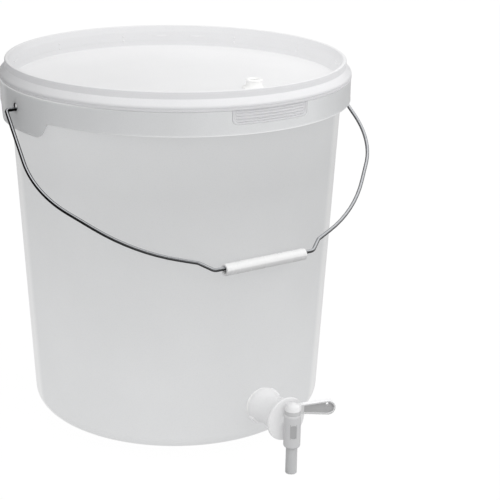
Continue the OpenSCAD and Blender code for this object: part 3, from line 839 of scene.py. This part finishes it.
def lid_profile():
    inner_skirt = LID_R - 1.9
    groove = LID_R - 0.42
    return round_corners([
        (0, LID_FLOOR - 2), (178.3, LID_FLOOR - 2, 2.2), (178.5, RIM_Z - 4),
        (SUNK_R + 1.9, RIM_Z + 0.8, 0.6), (SUNK_R + 2.9, RIM_Z + 1.9, 0.6),
        (LIP_R - 2.0, RIM_Z + 2.0, 0.7), (LIP_R - 1.4, RIM_Z + 0.6),
        (LID_R - 3.1, LIP_Z - 13.4, 0.8), (inner_skirt, LIP_Z - 14.8, 0.8),
        (inner_skirt, COLLAR_TOP + 0.4, 0.35), (LID_R, COLLAR_TOP + 0.4, 0.5),
        (LID_R, COLLAR_TOP + 2.5, 0.12), (groove, COLLAR_TOP + 2.9, 0.15),
        (groove, COLLAR_TOP + 3.1, 0.15), (LID_R, COLLAR_TOP + 3.5, 0.12),
        (LID_R, LIP_Z - 13.8, 4.0), (LIP_R, LIP_Z - 7.4, 1.6), (LIP_R, LIP_Z, 1.7),
        (LIP_IN, LIP_Z, 1.5), (SUNK_R + 0.6, RIM_Z + 1.4, 4), (SUNK_R + 0.1, LID_FLOOR + 6.4, 0.5),
        (SUNK_R + 0.35, LID_FLOOR + 5.9, 0.3), (SUNK_R, LID_FLOOR, 1.5), (0, LID_FLOOR)], steps=9)


def sunk_wall_r(z):
    heights = [LID_FLOOR + 1.5, LID_FLOOR + 5.9, LID_FLOOR + 6.4, RIM_Z + 1.4, LIP_Z - 1.5]
    radii = [SUNK_R, SUNK_R + 0.35, SUNK_R + 0.1, SUNK_R + 0.6, LIP_IN]
    return np.interp(z, heights, radii)


def make_pip(degrees, z):
    shape = bmesh.new()
    bmesh.ops.create_uvsphere(shape, u_segments=20, v_segments=12, radius=1.0)
    shape.transform(turn_z(math.radians(degrees)) @ shift(sunk_wall_r(z) + 0.25, 0, z)
                    @ Matrix.Diagonal((1.05 * MM, 1.35 * MM, 1.35 * MM, 1)))
    return add_object("pip", shape)


def make_bar(degrees, z=383.8, half=9.5, thick=1.5):
    outline = [(side * half + math.cos(turn), math.sin(turn))
               for side, start in ((1, -90), (-1, 90))
               for turn in [math.radians(start + 22.5 * k) for k in range(9)]]
    placing = (turn_z(math.radians(degrees)) @ shift(sunk_wall_r(z) - 0.75, 0, z)
               @ QUARTER_Y @ QUARTER_Z)
    return prism("bar", outline, thick, placing)


def wall_marks():
    """Moulded pips and bars round the inside of the sunk wall."""
    marks = []
    for base in (0, 180):
        marks += [make_pip(degrees + base, z) for degrees in (8, 37, 81, 110)
                  for z in (379.0, 384.2)]
        marks += [make_bar(degrees + base) for degrees in (52, 66, 142, 156)]
    return join(marks, "bits")


TAB_CORNER = 5.2
TAB_ROWS, TAB_COLUMNS = 120, 150
RIB_START, RIB_PITCH = 2.9, 3.05       # the tab's level ribs, above its lower edge


def tab_relief(x, z):
    """Height of the tab's face, 0 to 1: a raised border and level ribs."""
    if z >= COLLAR_TOP + 0.2:
        return 0.2
    from_side, from_low = TAB_HALF - abs(x), z - TAB_LOW
    if from_side < TAB_CORNER and from_low < TAB_CORNER:
        inside = TAB_CORNER - math.hypot(TAB_CORNER - from_side, TAB_CORNER - from_low)
    else:
        inside = min(from_side, from_low)
    border = 1.0 - min(1.0, max(0.0, (inside - 1.1) / 0.7))
    row = (z - TAB_LOW - RIB_START) / RIB_PITCH
    rib = 0.0
    if -0.5 < row < 3.4 and from_side > 3.0:
        phase = (row + 0.5) % 1.0
        rib = max(0.0, min(1.0, (0.34 - abs(phase - 0.5)) / 0.14))
        rib *= min(1.0, (from_side - 3.0) / 1.2)
    return max(border, 0.75 * rib)


def make_tab():
    """A curved plate at -Y, trimmed to a rounded outline."""
    shape = bmesh.new()
    start, end = TAB_LOW - 1, COLLAR_TOP + 3.2
    face, back = [], []
    for i in range(TAB_ROWS + 1):
        z = start + (end - start) * i / TAB_ROWS
        face.append([])
        back.append([])
        for j in range(TAB_COLUMNS + 1):
            x = -TAB_HALF - 1 + (2 * TAB_HALF + 2) * j / TAB_COLUMNS
            azimuth = -math.pi / 2 + x / COLLAR_R
            face_r = COLLAR_R - 1.05 + 0.95 * tab_relief(x, z)
            for sheet, radius in ((face, face_r), (back, COLLAR_R - 1.9)):
                sheet[-1].append(shape.verts.new((radius * math.cos(azimuth) * MM,
                                                  radius * math.sin(azimuth) * MM, z * MM)))
    add_face = shape.faces.new
    for i in range(TAB_ROWS):
        for j in range(TAB_COLUMNS):
            add_face((face[i][j], face[i][j + 1], face[i + 1][j + 1], face[i + 1][j]))
            add_face((back[i][j], back[i + 1][j], back[i + 1][j + 1], back[i][j + 1]))
    for i in range(TAB_ROWS):
        add_face((face[i][0], face[i + 1][0], back[i + 1][0], back[i][0]))
        add_face((face[i][-1], back[i][-1], back[i + 1][-1], face[i + 1][-1]))
    for j in range(TAB_COLUMNS):
        add_face((face[0][j], back[0][j], back[0][j + 1], face[0][j + 1]))
        add_face((face[-1][j], face[-1][j + 1], back[-1][j + 1], back[-1][j]))
    tab = add_object("tab", shape)
    outline = round_corners([
        (-TAB_HALF, 383), (-TAB_HALF, TAB_LOW, TAB_CORNER), (TAB_HALF, TAB_LOW, TAB_CORNER),
        (TAB_HALF, 383)], steps=10)
    boolean(tab, prism("cut", outline, 60, shift(0, -150, 0) @ UPRIGHT), "INTERSECT")
    return tab


def make_lid():
    lid = revolve("lid_disc", lid_profile(), azimuths=[math.radians(i * 0.5) for i in range(720)])
    boolean(lid, wall_marks(), "UNION")
    boolean(lid, make_tab(), "UNION")
    boolean(lid, rod("hole", (GROMMET_X, GROMMET_Y, LID_FLOOR - 6),
                     (GROMMET_X, GROMMET_Y, LID_FLOOR + 4), 7.1, 96))
    clean(lid)
    smooth(lid, 40)
    return lid


install(make_lid(), LID_PLASTIC, "lid", "lid")


# ---------------------------------------------------------------- grommet
def make_grommet():
    top, floor = GROMMET_HI[2], LID_FLOOR
    profile = round_corners([
        (5.0, floor - 4.2, 0.3), (8.8, floor - 4.2, 1.0), (9.6, floor - 3.0, 0.6),
        (9.6, floor - 2.02, 0.25), (7.0, floor - 2.02, 0.2), (7.0, floor + 0.02, 0.2),
        (12.6, floor + 0.02, 0.3), (12.7, floor + 1.1, 0.6), (9.4, floor + 1.9, 2.6),
        (8.3, floor + 4.6, 3.0), (8.45, top - 2.3, 0.8), (9.1, top - 1.7, 0.5),
        (9.1, top, 0.9), (6.0, top, 0.8), (5.0, top - 1.2, 0.5)], closed=True, steps=8)
    profile = subdivide(profile, 0.8, closed=True)
    grommet = revolve("lid_grommet", profile, closed=True, count=96, sharp=60)
    grommet.data.transform(shift(GROMMET_X, GROMMET_Y, 0))
    return grommet


install(make_grommet(), GROMMET_RUBBER, "lid", "airlock_grommet")

# ---------------------------------------------------------------- bail
BAIL_ANGLE = math.atan2(-GRIP_Y, HINGE_Z - 1.6 - GRIP_Z)      # from straight down, toward -Y
WIRE_R, WIRE_SIDES = 2.0, 24
# half of the wire's path: x, distance from the hinge, corner radius
WIRE_HALF = [(184.2, -9), (184.2, 0, 3), (200.2, 0, 3.4), (209.4, 105, 92), (135.7, 192.7, 190),
             (74, 218, 8), (60.45, 230.2, 9), (0, 230.2)]
# rounded cut end: distance past the end, share of the wire's radius
WIRE_END = [(0.55, 0.55), (0.35, 0.82), (0.12, 0.96)]


def wire_stations():
    """(centre, direction, share of radius, distance along) for each ring of the wire."""
    half = round_corners(WIRE_HALF, steps=26)
    points = subdivide(half + [(-x, down) for x, down in half[::-1][1:]], 2.5)
    path = [Vector((x, -down * math.sin(BAIL_ANGLE), HINGE_Z - down * math.cos(BAIL_ANGLE)))
            for x, down in points]
    last = len(path) - 1
    along = [(path[min(last, i + 1)] - path[max(0, i - 1)]).normalized() for i in range(last + 1)]
    stations = [(path[0] - along[0] * past, along[0], share, -past) for past, share in WIRE_END]
    total = 0.0
    for i, point in enumerate(path):
        if i:
            total += (point - path[i - 1]).length
        stations.append((point, along[i], 1.0, total))
    stations += [(path[-1] + along[-1] * past, along[-1], share, total + past)
                 for past, share in WIRE_END[::-1]]
    return stations


def make_wire():
    stations = wire_stations()
    across_plane = Vector((0, math.cos(BAIL_ANGLE), -math.sin(BAIL_ANGLE)))
    shape = bmesh.new()
    layer = shape.loops.layers.uv.new("along")
    rings = []
    for centre, along, share, _ in stations:
        in_plane = along.cross(across_plane).normalized()
        ring = []
        for k in range(WIRE_SIDES):
            turn = 2 * math.pi * k / WIRE_SIDES
            offset = in_plane * math.cos(turn) + across_plane * math.sin(turn)
            ring.append(shape.verts.new((centre + offset * (WIRE_R * share)) * MM))
        rings.append(ring)
    for i in range(len(rings) - 1):
        start, end = stations[i][3] * MM, stations[i + 1][3] * MM
        for k in range(WIRE_SIDES):
            j = (k + 1) % WIRE_SIDES
            face = shape.faces.new((rings[i][k], rings[i][j], rings[i + 1][j], rings[i + 1][k]))
            low, high = k / WIRE_SIDES, (k + 1) / WIRE_SIDES
            corners = [(start, low), (start, high), (end, high), (end, low)]
            for loop, corner in zip(face.loops, corners):
                loop[layer].uv = corner
    shape.faces.new(rings[0][::-1])
    shape.faces.new(rings[-1])
    return add_object("bail_handle", shape, sharp=60)


install(make_wire(), BAIL_STEEL, "bail", "bail_wire")


def make_grip():
    half = (GRIP_HI[0] - GRIP_LO[0]) / 2
    outer = (GRIP_HI[2] - GRIP_LO[2]) / 2
    inner = 3.7
    profile = round_corners([
        (inner, -half, 0.35), (outer, -half, 0.8), (outer, -half + 1.8, 0.3),
        (outer, half - 1.8, 0.3), (outer, half, 0.8), (inner, half, 0.35)], closed=True, steps=6)

    def hand_cut(radius, z, azimuth):
        # the ends are a touch off square, and the tube is a little oval
        slant = 0.12 * math.cos(azimuth) * (abs(z) / half) ** 6
        oval = 1.0 - 0.006 * (1 + math.cos(2 * azimuth)) if radius > 5 else 1.0
        return radius * oval, z + (slant if z > 0 else -slant)

    grip = revolve("grip_tube", subdivide(profile, 2.0, closed=True), closed=True, count=96,
                   move=hand_cut, sharp=50)
    grip.data.transform(shift(0, GRIP_Y, GRIP_Z) @ QUARTER_Y)
    return grip


install(make_grip(), GRIP_PLASTIC, "grip", "bail_grip")

# ---------------------------------------------------------------- tap
TAP_TURN = turn_z(TAP_AZ)              # local +X runs outward along the tap
TAP_BACK = TAP_TURN.inverted()
TAP_AXIS = TAP_TURN @ shift(0, 0, TAP_Z) @ QUARTER_Y     # local +Z runs outward
BARREL = TAP_TURN @ shift(BARREL_AT, 0, 0)
# direction of the lever: the sideways stop, turned on by the rest angle
LEVER_AZ = TAP_AZ + math.pi / 2 + math.radians(joints["tap_turn"]["range_deg"][0])
LEVER_TURN = LEVER_AZ - TAP_AZ

# places outward from the bucket's axis
WALL_AT_TAP = wall_r(TAP_Z)
FLANGE_AT = WALL_AT_TAP + 2.8
DISC_AT = BARREL_AT - 9.5
STEM_END = WALL_AT_TAP - WALL_T - 1.4 - 2.4 - 10.5       # inner end of the ridged stem
# sizes
FLANGE_R = 19.4
LUG_ANGLES = (131, 311)                # degrees round the tap's axis
INLET_R = 4.4
BARREL_R, BORE_R = 9.0, 7.05
BARREL_LOW, BARREL_TOP = 16.0, 53.8
SEAT_Z = 18.6                          # floor of the barrel's chamber
WINDOW_TURN = math.radians(-29.3)      # azimuth of the barrel's shallow window, from the tap's


def housing_profile():
    """Closed outline of the stem, flange and flared disc, as (r, distance outward)."""
    outline = [(STEM_END, 9.8), (STEM_END, 12.0, 0.2)]
    for k in range(5):
        x = STEM_END + 1.2 + k * 2.6
        outline += [(x, 12.2, 0.15), (x + 0.75, 13.2, 0.2), (x + 1.25, 13.2, 0.2),
                    (x + 2.0, 12.2, 0.15)]
    outline += [(FLANGE_AT, 12.2, 0.2), (FLANGE_AT, FLANGE_R, 0.5),
                (FLANGE_AT + 3.8, FLANGE_R, 1.6), (FLANGE_AT + 9.5, 17.9, 8),
                (FLANGE_AT + 16.0, 16.7, 14)]
    for i in range(1, 9):
        part = i / 8
        outline.append((FLANGE_AT + 16.5 + (DISC_AT - 2.4 - FLANGE_AT - 16.5)
                        * (1 - (1 - part) ** 1.25), 16.8 + 7.1 * part ** 1.9))
    outline += [(DISC_AT - 0.9, 23.9, 0.5), (DISC_AT, 23.7, 0.7), (DISC_AT, INLET_R),
                (DISC_AT - 2.8, INLET_R), (DISC_AT - 2.8, 15.3, 1.5), (DISC_AT - 9, 13.6, 3),
                (FLANGE_AT + 15, 13.2, 3), (FLANGE_AT + 6, 9.8, 2)]
    loop = round_corners(outline, closed=True, steps=7)
    return subdivide([(radius, x) for x, radius in loop], 1.5, closed=True)


def make_tap_body():
    tap = revolve("tap_housing", housing_profile(), closed=True, count=144)
    tap.data.transform(TAP_AXIS)
    # grip lugs on the flange
    lug = round_corners([(-5, -4.4, 0.8), (5, -4.4, 0.8), (5, 0, 1.0), (-5, 0, 1.0)],
                        closed=True, steps=5)
    for degrees in LUG_ANGLES:
        placing = (TAP_TURN @ shift(FLANGE_AT + 0.1, 0, TAP_Z)
                   @ Matrix.Rotation(math.radians(degrees), 4, "X")
                   @ shift(0, 0, FLANGE_R + 0.6) @ QUARTER_Y @ QUARTER_Z)
        boolean(tap, prism("lug", lug, 7.4, placing), "UNION")
    # barrel with a rounded lower edge
    profile = round_corners([(0, BARREL_LOW), (BARREL_R, BARREL_LOW, 2.4),
                             (BARREL_R, BARREL_TOP, 0.4), (0, BARREL_TOP)], steps=9)
    barrel = revolve("barrel", subdivide(profile, 2.0), count=96)
    barrel.data.transform(BARREL)
    boolean(tap, barrel, "UNION")
    # boss between the disc and the barrel
    start, end = [TAP_TURN @ Vector((x * MM, 0, TAP_Z * MM)) * 1000
                  for x in (DISC_AT - 1, BARREL_AT - 1)]
    boolean(tap, rod("boss", start, end, 7.0), "UNION")
    return tap


def cut_tap(tap):
    # name, then start and end as (outward, height), radius, sides
    bores = [("chamber", (BARREL_AT, SEAT_Z), (BARREL_AT, 90), BORE_R, 96),
             ("outlet", (BARREL_AT, 0), (BARREL_AT, 40), 6.6, 96),
             ("inlet", (DISC_AT - 6, TAP_Z), (DISC_AT + 6, TAP_Z), INLET_R, 64)]
    for name, start, end, radius, sides in bores:
        start, end = [TAP_TURN @ Vector((x, 0, z)) for x, z in (start, end)]
        boolean(tap, rod(name, start, end, radius, sides))
    # shallow window on the barrel
    outline = round_corners([(-3.1, 28.5, 2.2), (3.1, 28.5, 2.2), (3.1, 43.6, 2.2),
                             (-3.1, 43.6, 2.2)], closed=True, steps=6)
    placing = (BARREL @ turn_z(WINDOW_TURN) @ shift(BARREL_R - 0.75, 0, 0)
               @ QUARTER_Z @ UPRIGHT)
    boolean(tap, prism("window", outline, 4.0, placing))


def tap_shade(vert):
    """Painted shade on the window's floor, painted highlight on the grip lugs."""
    spot = TAP_BACK @ (vert.co * 1000)
    x, y = spot.x - BARREL_AT, spot.y
    outward = x * math.cos(WINDOW_TURN) + y * math.sin(WINDOW_TURN)
    sideways = y * math.cos(WINDOW_TURN) - x * math.sin(WINDOW_TURN)
    if 7.9 < outward < 8.5 and abs(sideways) < 3.5 and 28 < spot.z < 44.5:
        return 0.74
    degrees = math.degrees(math.atan2(-spot.y, spot.z - TAP_Z)) % 360
    radius = math.hypot(spot.y, spot.z - TAP_Z)
    near_lug = min(abs(degrees - lug) for lug in LUG_ANGLES) < 17
    if FLANGE_AT - 0.5 < spot.x < FLANGE_AT + 8 and radius > 17.9 and near_lug:
        return 1.08
    return 1.0


def make_tap():
    tap = make_tap_body()
    soften(tap, voxel=0.36, rounds=3)
    cut_tap(tap)
    clean(tap)
    smooth(tap, 30)
    paint(tap, "POINT", [tap_shade(vert) for vert in tap.data.vertices])
    return tap


install(make_tap(), TAP_PLASTIC, "bucket", "tap_body")


def flat_cut(x, z, turn=0.0):
    """A block that leaves a flat at x, above z, on a round post."""
    outline = [(x, z), (8, z), (8, 80), (x, 80)]
    return prism("flat", outline, 12, turn_z(turn) @ shift(0, 6, 0) @ UPRIGHT)


def make_plug():
    """The turning plug: spout below, post with a flat for the lever above."""
    low, top = PLUG_LO[2], BARREL_TOP - 0.4
    post_top = BARREL_TOP + 7.2
    profile = round_corners([
        (0, 49.5), (4.2, 49.5, 0.4), (4.2, low, 0.25), (6.1, low, 0.5),
        (6.1, BARREL_LOW - 0.4, 0.1), (6.5, BARREL_LOW, 0.1), (6.5, SEAT_Z + 0.02, 0.1),
        (7.0, SEAT_Z + 0.02, 0.2), (7.0, top, 0.3), (4.6, top, 0.2), (4.6, post_top, 0.5),
        (0, post_top)], steps=6)
    plug = revolve("tap_spout", subdivide(profile, 2.5), count=96)
    port = LEVER_TURN + math.pi
    boolean(plug, rod("port", (0, 0, TAP_Z), (12 * math.cos(port), 12 * math.sin(port), TAP_Z),
                      3.6))
    boolean(plug, flat_cut(3.4, BARREL_TOP + 0.6, LEVER_TURN))
    plug.data.transform(BARREL)
    clean(plug)
    smooth(plug, 40)
    return plug


install(make_plug(), PLUG_PLASTIC, "valve", "tap_plug")

# lever, built along +X from the barrel's axis
HUB_R = 8.6
BLADE_Z = 59.9                         # middle of the blade
ROOT_DOWN, ROOT_UP = 4.8, 3.9          # the blade below and above the middle, at the axis
TIP_R = 8.1
TIP_AT = 45.0 - TIP_R                  # centre of the round tip


def blade_outline(inset, start):
    """Side view of the blade from x = start to the tip, shrunk by the inset."""
    radius = TIP_R - inset
    tip = [(TIP_AT + radius * math.cos(math.radians(turn)),
            BLADE_Z + 0.1 + radius * math.sin(math.radians(turn))) for turn in range(-84, 85, 6)]
    part = start / TIP_AT
    low = (BLADE_Z - ROOT_DOWN) * (1 - part) + (BLADE_Z - TIP_R) * part + inset
    top = (BLADE_Z + ROOT_UP) * (1 - part) + (BLADE_Z + TIP_R) * part - inset
    return round_corners([(start, low, 0.9)] + tip + [(start, top, 0.9)], closed=True)


# painted light and shade for each face by which way it looks: lighter tops and upward pocket walls, darker
# undersides, faces, pocket floor and the hub's lower side
def lever_shade(face):
    x, y, z = face.center * 1000
    normal = face.normal
    if x < 8.4:
        # painted shade on the lower side of the hub
        low_side = z < 58.5 and math.hypot(x, y) < HUB_R + 0.3 and abs(normal.z) < 0.7
        return 0.72 if low_side else 1.0
    if x > 11.0 and abs(y) < 2.8:
        # painted shade and light in the pocket: floor, then the walls that face up and down
        return 0.52 if abs(normal.y) > 0.8 else (1.25 if normal.z > 0 else 0.42)
    if abs(normal.y) > 0.6:
        return 0.76
    return 1.1 if normal.z > 0.3 else (0.6 if normal.z < -0.3 else 0.8)


def make_lever():
    hub = round_corners([(0, BARREL_TOP + 0.05), (HUB_R, BARREL_TOP + 0.05, 0.5),
                         (HUB_R, 59.2, 4.5), (6.8, 64.2, 5.0), (0, 66.7)], steps=10)
    lever = revolve("tap_handle", subdivide(hub, 1.5), count=96)
    boolean(lever, prism("blade", blade_outline(0, 0), 6.0, shift(0, 3, 0) @ UPRIGHT), "UNION")
    soften(lever, voxel=0.3, rounds=4)
    # shallow pocket in each face, then the hanging hole and the socket
    for y in (4.5, -1.1):
        boolean(lever, prism("pocket", blade_outline(1.6, 11.5), 3.4, shift(0, y, 0) @ UPRIGHT))
    hole_x, hole_z = TIP_AT - 0.6, BLADE_Z + 3.9
    boolean(lever, rod("eye", (hole_x, -8, hole_z), (hole_x, 8, hole_z), 1.5, 40))
    socket = rod("socket", (0, 0, BARREL_TOP - 1), (0, 0, BARREL_TOP + 7.6), 4.65)
    boolean(socket, flat_cut(3.45, BARREL_TOP + 0.7))
    boolean(lever, socket)
    clean(lever)
    smooth(lever, 42)
    paint(lever, "FACE", [lever_shade(face) for face in lever.data.polygons])
    lever.data.transform(BARREL @ turn_z(LEVER_TURN))
    return lever


install(make_lever(), LEVER_PLASTIC, "valve", "tap_lever")

# pieces kept from the frame: washers and backnut, with their own finish
for name, material in (("tap_outer_washer", WASHER_RUBBER), ("tap_inner_washer", WASHER_RUBBER),
                       ("tap_backnut", NUT_PLASTIC)):
    kept = frame["nodes"][name]
    set_material(kept, material)
    bevel = kept.modifiers.new("soft_edges", "BEVEL")
    bevel.width = 0.35 * MM
    bevel.segments = 2
    bevel.limit_method = "ANGLE"
    bevel.angle_limit = math.radians(50)

# ---------------------------------------------------------------- stage
FLOOR_WHITE = 0.95                     # share of plain white the camera sees
FLOOR_BOUNCE = 0.6                     # dims the light that bounces off the floor
FLOOR_Z = PLUG_LO[2] - 0.6             # the spout hangs lower than the base


def stage_material():
    """Burns out to white for the camera, with softer bounced light."""
    material, nodes = new_material("stage_pale")
    pale = nodes.ramp(nodes.noise(Scale=2.0), [(0.3, 0.90), (0.7, 0.92)])
    matt = nodes.add("BsdfPrincipled", {
        "Roughness": 0.9, "Specular IOR Level": 0.1,
        "Base Color": nodes.multiply(1.0, pale, opaque(FLOOR_BOUNCE))})
    white = nodes.add("Emission", {"Strength": 1.03})
    seen = nodes.mix_shader(FLOOR_WHITE, matt, white)
    camera_ray = nodes.add("LightPath", output="Is Camera Ray")
    nodes.finish(nodes.mix_shader(camera_ray, matt, seen))
    return material


def make_stage():
    """A wide floor, and a riser that carries the bucket's base."""
    material = stage_material()
    shape = bmesh.new()
    bmesh.ops.create_grid(shape, x_segments=2, y_segments=2, size=30.0)
    for vert in shape.verts:
        vert.co.z = FLOOR_Z * MM
    floor = add_object("floor", shape)
    set_material(floor, material)
    profile = round_corners([(0, FLOOR_Z), (128, FLOOR_Z), (128, -0.05, 0.5), (0, -0.05)])
    riser = revolve("riser", profile, count=128)
    set_material(riser, material)


make_stage()

# ---------------------------------------------------------------- camera, world and light
UP = Vector((0, 0, 1))
CAMERA_DOWN, CAMERA_YAW, CAMERA_ROLL = [math.radians(angle) for angle in (19.28, 3.264, 1.031)]
VIEW_TURN = math.radians(-30)          # the whole view, turned about Z
CAMERA_PLACE = (0, -1.467392, 0.6848)  # metres, before that turn
SENSOR_WIDTH, LENS = 36.0, 98.055576
# soft light: its level, and how it grows upward, to the right and away from the camera
SKY_LEVEL, SKY_UP, SKY_RIGHT, SKY_BACK = 0.92, 0.74, 0.60, -0.75
SKY_LEAST = 0.02


def make_camera():
    """Returns the camera's right and forward directions."""
    cos, sin = math.cos(VIEW_TURN), math.sin(VIEW_TURN)
    turn = Matrix(((cos, -sin, 0), (sin, cos, 0), (0, 0, 1)))
    forward = Vector((math.sin(CAMERA_YAW) * math.cos(CAMERA_DOWN),
                      math.cos(CAMERA_YAW) * math.cos(CAMERA_DOWN), -math.sin(CAMERA_DOWN)))
    level = Vector((math.cos(CAMERA_YAW), -math.sin(CAMERA_YAW), 0))
    upright = level.cross(forward)
    right = level * math.cos(CAMERA_ROLL) + upright * math.sin(CAMERA_ROLL)
    top = upright * math.cos(CAMERA_ROLL) - level * math.sin(CAMERA_ROLL)
    forward, right, top = turn @ forward, turn @ right, turn @ top
    place = turn @ Vector(CAMERA_PLACE)
    lens = bpy.data.cameras.new("view")
    lens.sensor_width = SENSOR_WIDTH
    lens.lens = LENS
    lens.clip_end = 100
    camera = bpy.data.objects.new("view", lens)
    scene.collection.objects.link(camera)
    rows = [(right[i], top[i], -forward[i], place[i]) for i in range(3)]
    camera.matrix_world = Matrix((*rows, (0, 0, 0, 1)))
    scene.camera = camera
    return right, forward


def make_world(right, back):
    """A pale room: white to the camera, with soft light strongest from overhead and the right."""
    world = bpy.data.worlds.new("pale_room")
    scene.world = world
    world.use_nodes = True
    nodes = Nodes(world.node_tree, coords="Generated")

    def toward(direction):
        return nodes.dot(nodes.place, direction)

    def plus(first, second):
        return nodes.calc("ADD", first, second)

    def background(strength):
        return nodes.add("Background", {"Strength": strength})

    soft = plus(nodes.times(toward(UP), SKY_UP), nodes.times(toward(right), SKY_RIGHT))
    soft = plus(plus(soft, nodes.times(toward(back), SKY_BACK)), SKY_LEVEL)
    soft = nodes.larger(soft, SKY_LEAST)
    # what shiny surfaces see: a dim room with soft boxes overhead and at both sides
    dim, overhead = 0.10, 1.0
    glossy = plus(nodes.times(nodes.step(toward(UP), start=0.55, end=0.8), overhead), dim)
    # direction, start and end of its soft edge, brightness
    side_boxes = [(right * 0.86 + back * 0.35 + UP * 0.37, 0.80, 0.93, 1.1),
                  (-right * 0.92 + back * 0.3 + UP * 0.2, 0.86, 0.95, 0.15)]
    for direction, start, end, brightness in side_boxes:
        lit = nodes.step(toward(direction.normalized()), start, end)
        glossy = plus(glossy, nodes.times(lit, brightness))
    soft_share = 0.12
    glossy = plus(glossy, nodes.times(soft, soft_share))
    glossy_ray = nodes.add("LightPath", output="Is Glossy Ray")
    unseen = nodes.mix_shader(glossy_ray, background(soft), background(glossy))
    camera_ray = glossy_ray.node.outputs["Is Camera Ray"]
    nodes.finish(nodes.mix_shader(camera_ray, unseen, background(1.0)), "World")


def make_key_light(right, back):
    """A soft square light, high on the right and behind the bucket."""
    middle = Vector((0, 0, 0.2))
    place = middle + right * 1.5 + back * 0.9 + Vector((0, 0, 1.3))
    target = middle + Vector((0, 0, 0.1))
    light = bpy.data.lights.new("key", "AREA")
    light.shape = "RECTANGLE"
    light.size = light.size_y = 1.2
    light.energy = 5
    lamp = bpy.data.objects.new("key", light)
    scene.collection.objects.link(lamp)
    lamp.location = place
    lamp.rotation_euler = (target - place).to_track_quat("-Z", "Y").to_euler()
    lamp.visible_glossy = False


level_right, level_back = [Vector((direction.x, direction.y, 0)).normalized()
                           for direction in make_camera()]
make_world(level_right, level_back)
make_key_light(level_right, level_back)

scene.view_settings.view_transform = "Standard"
scene.view_settings.look = "None"

bpy.context.view_layer.update()
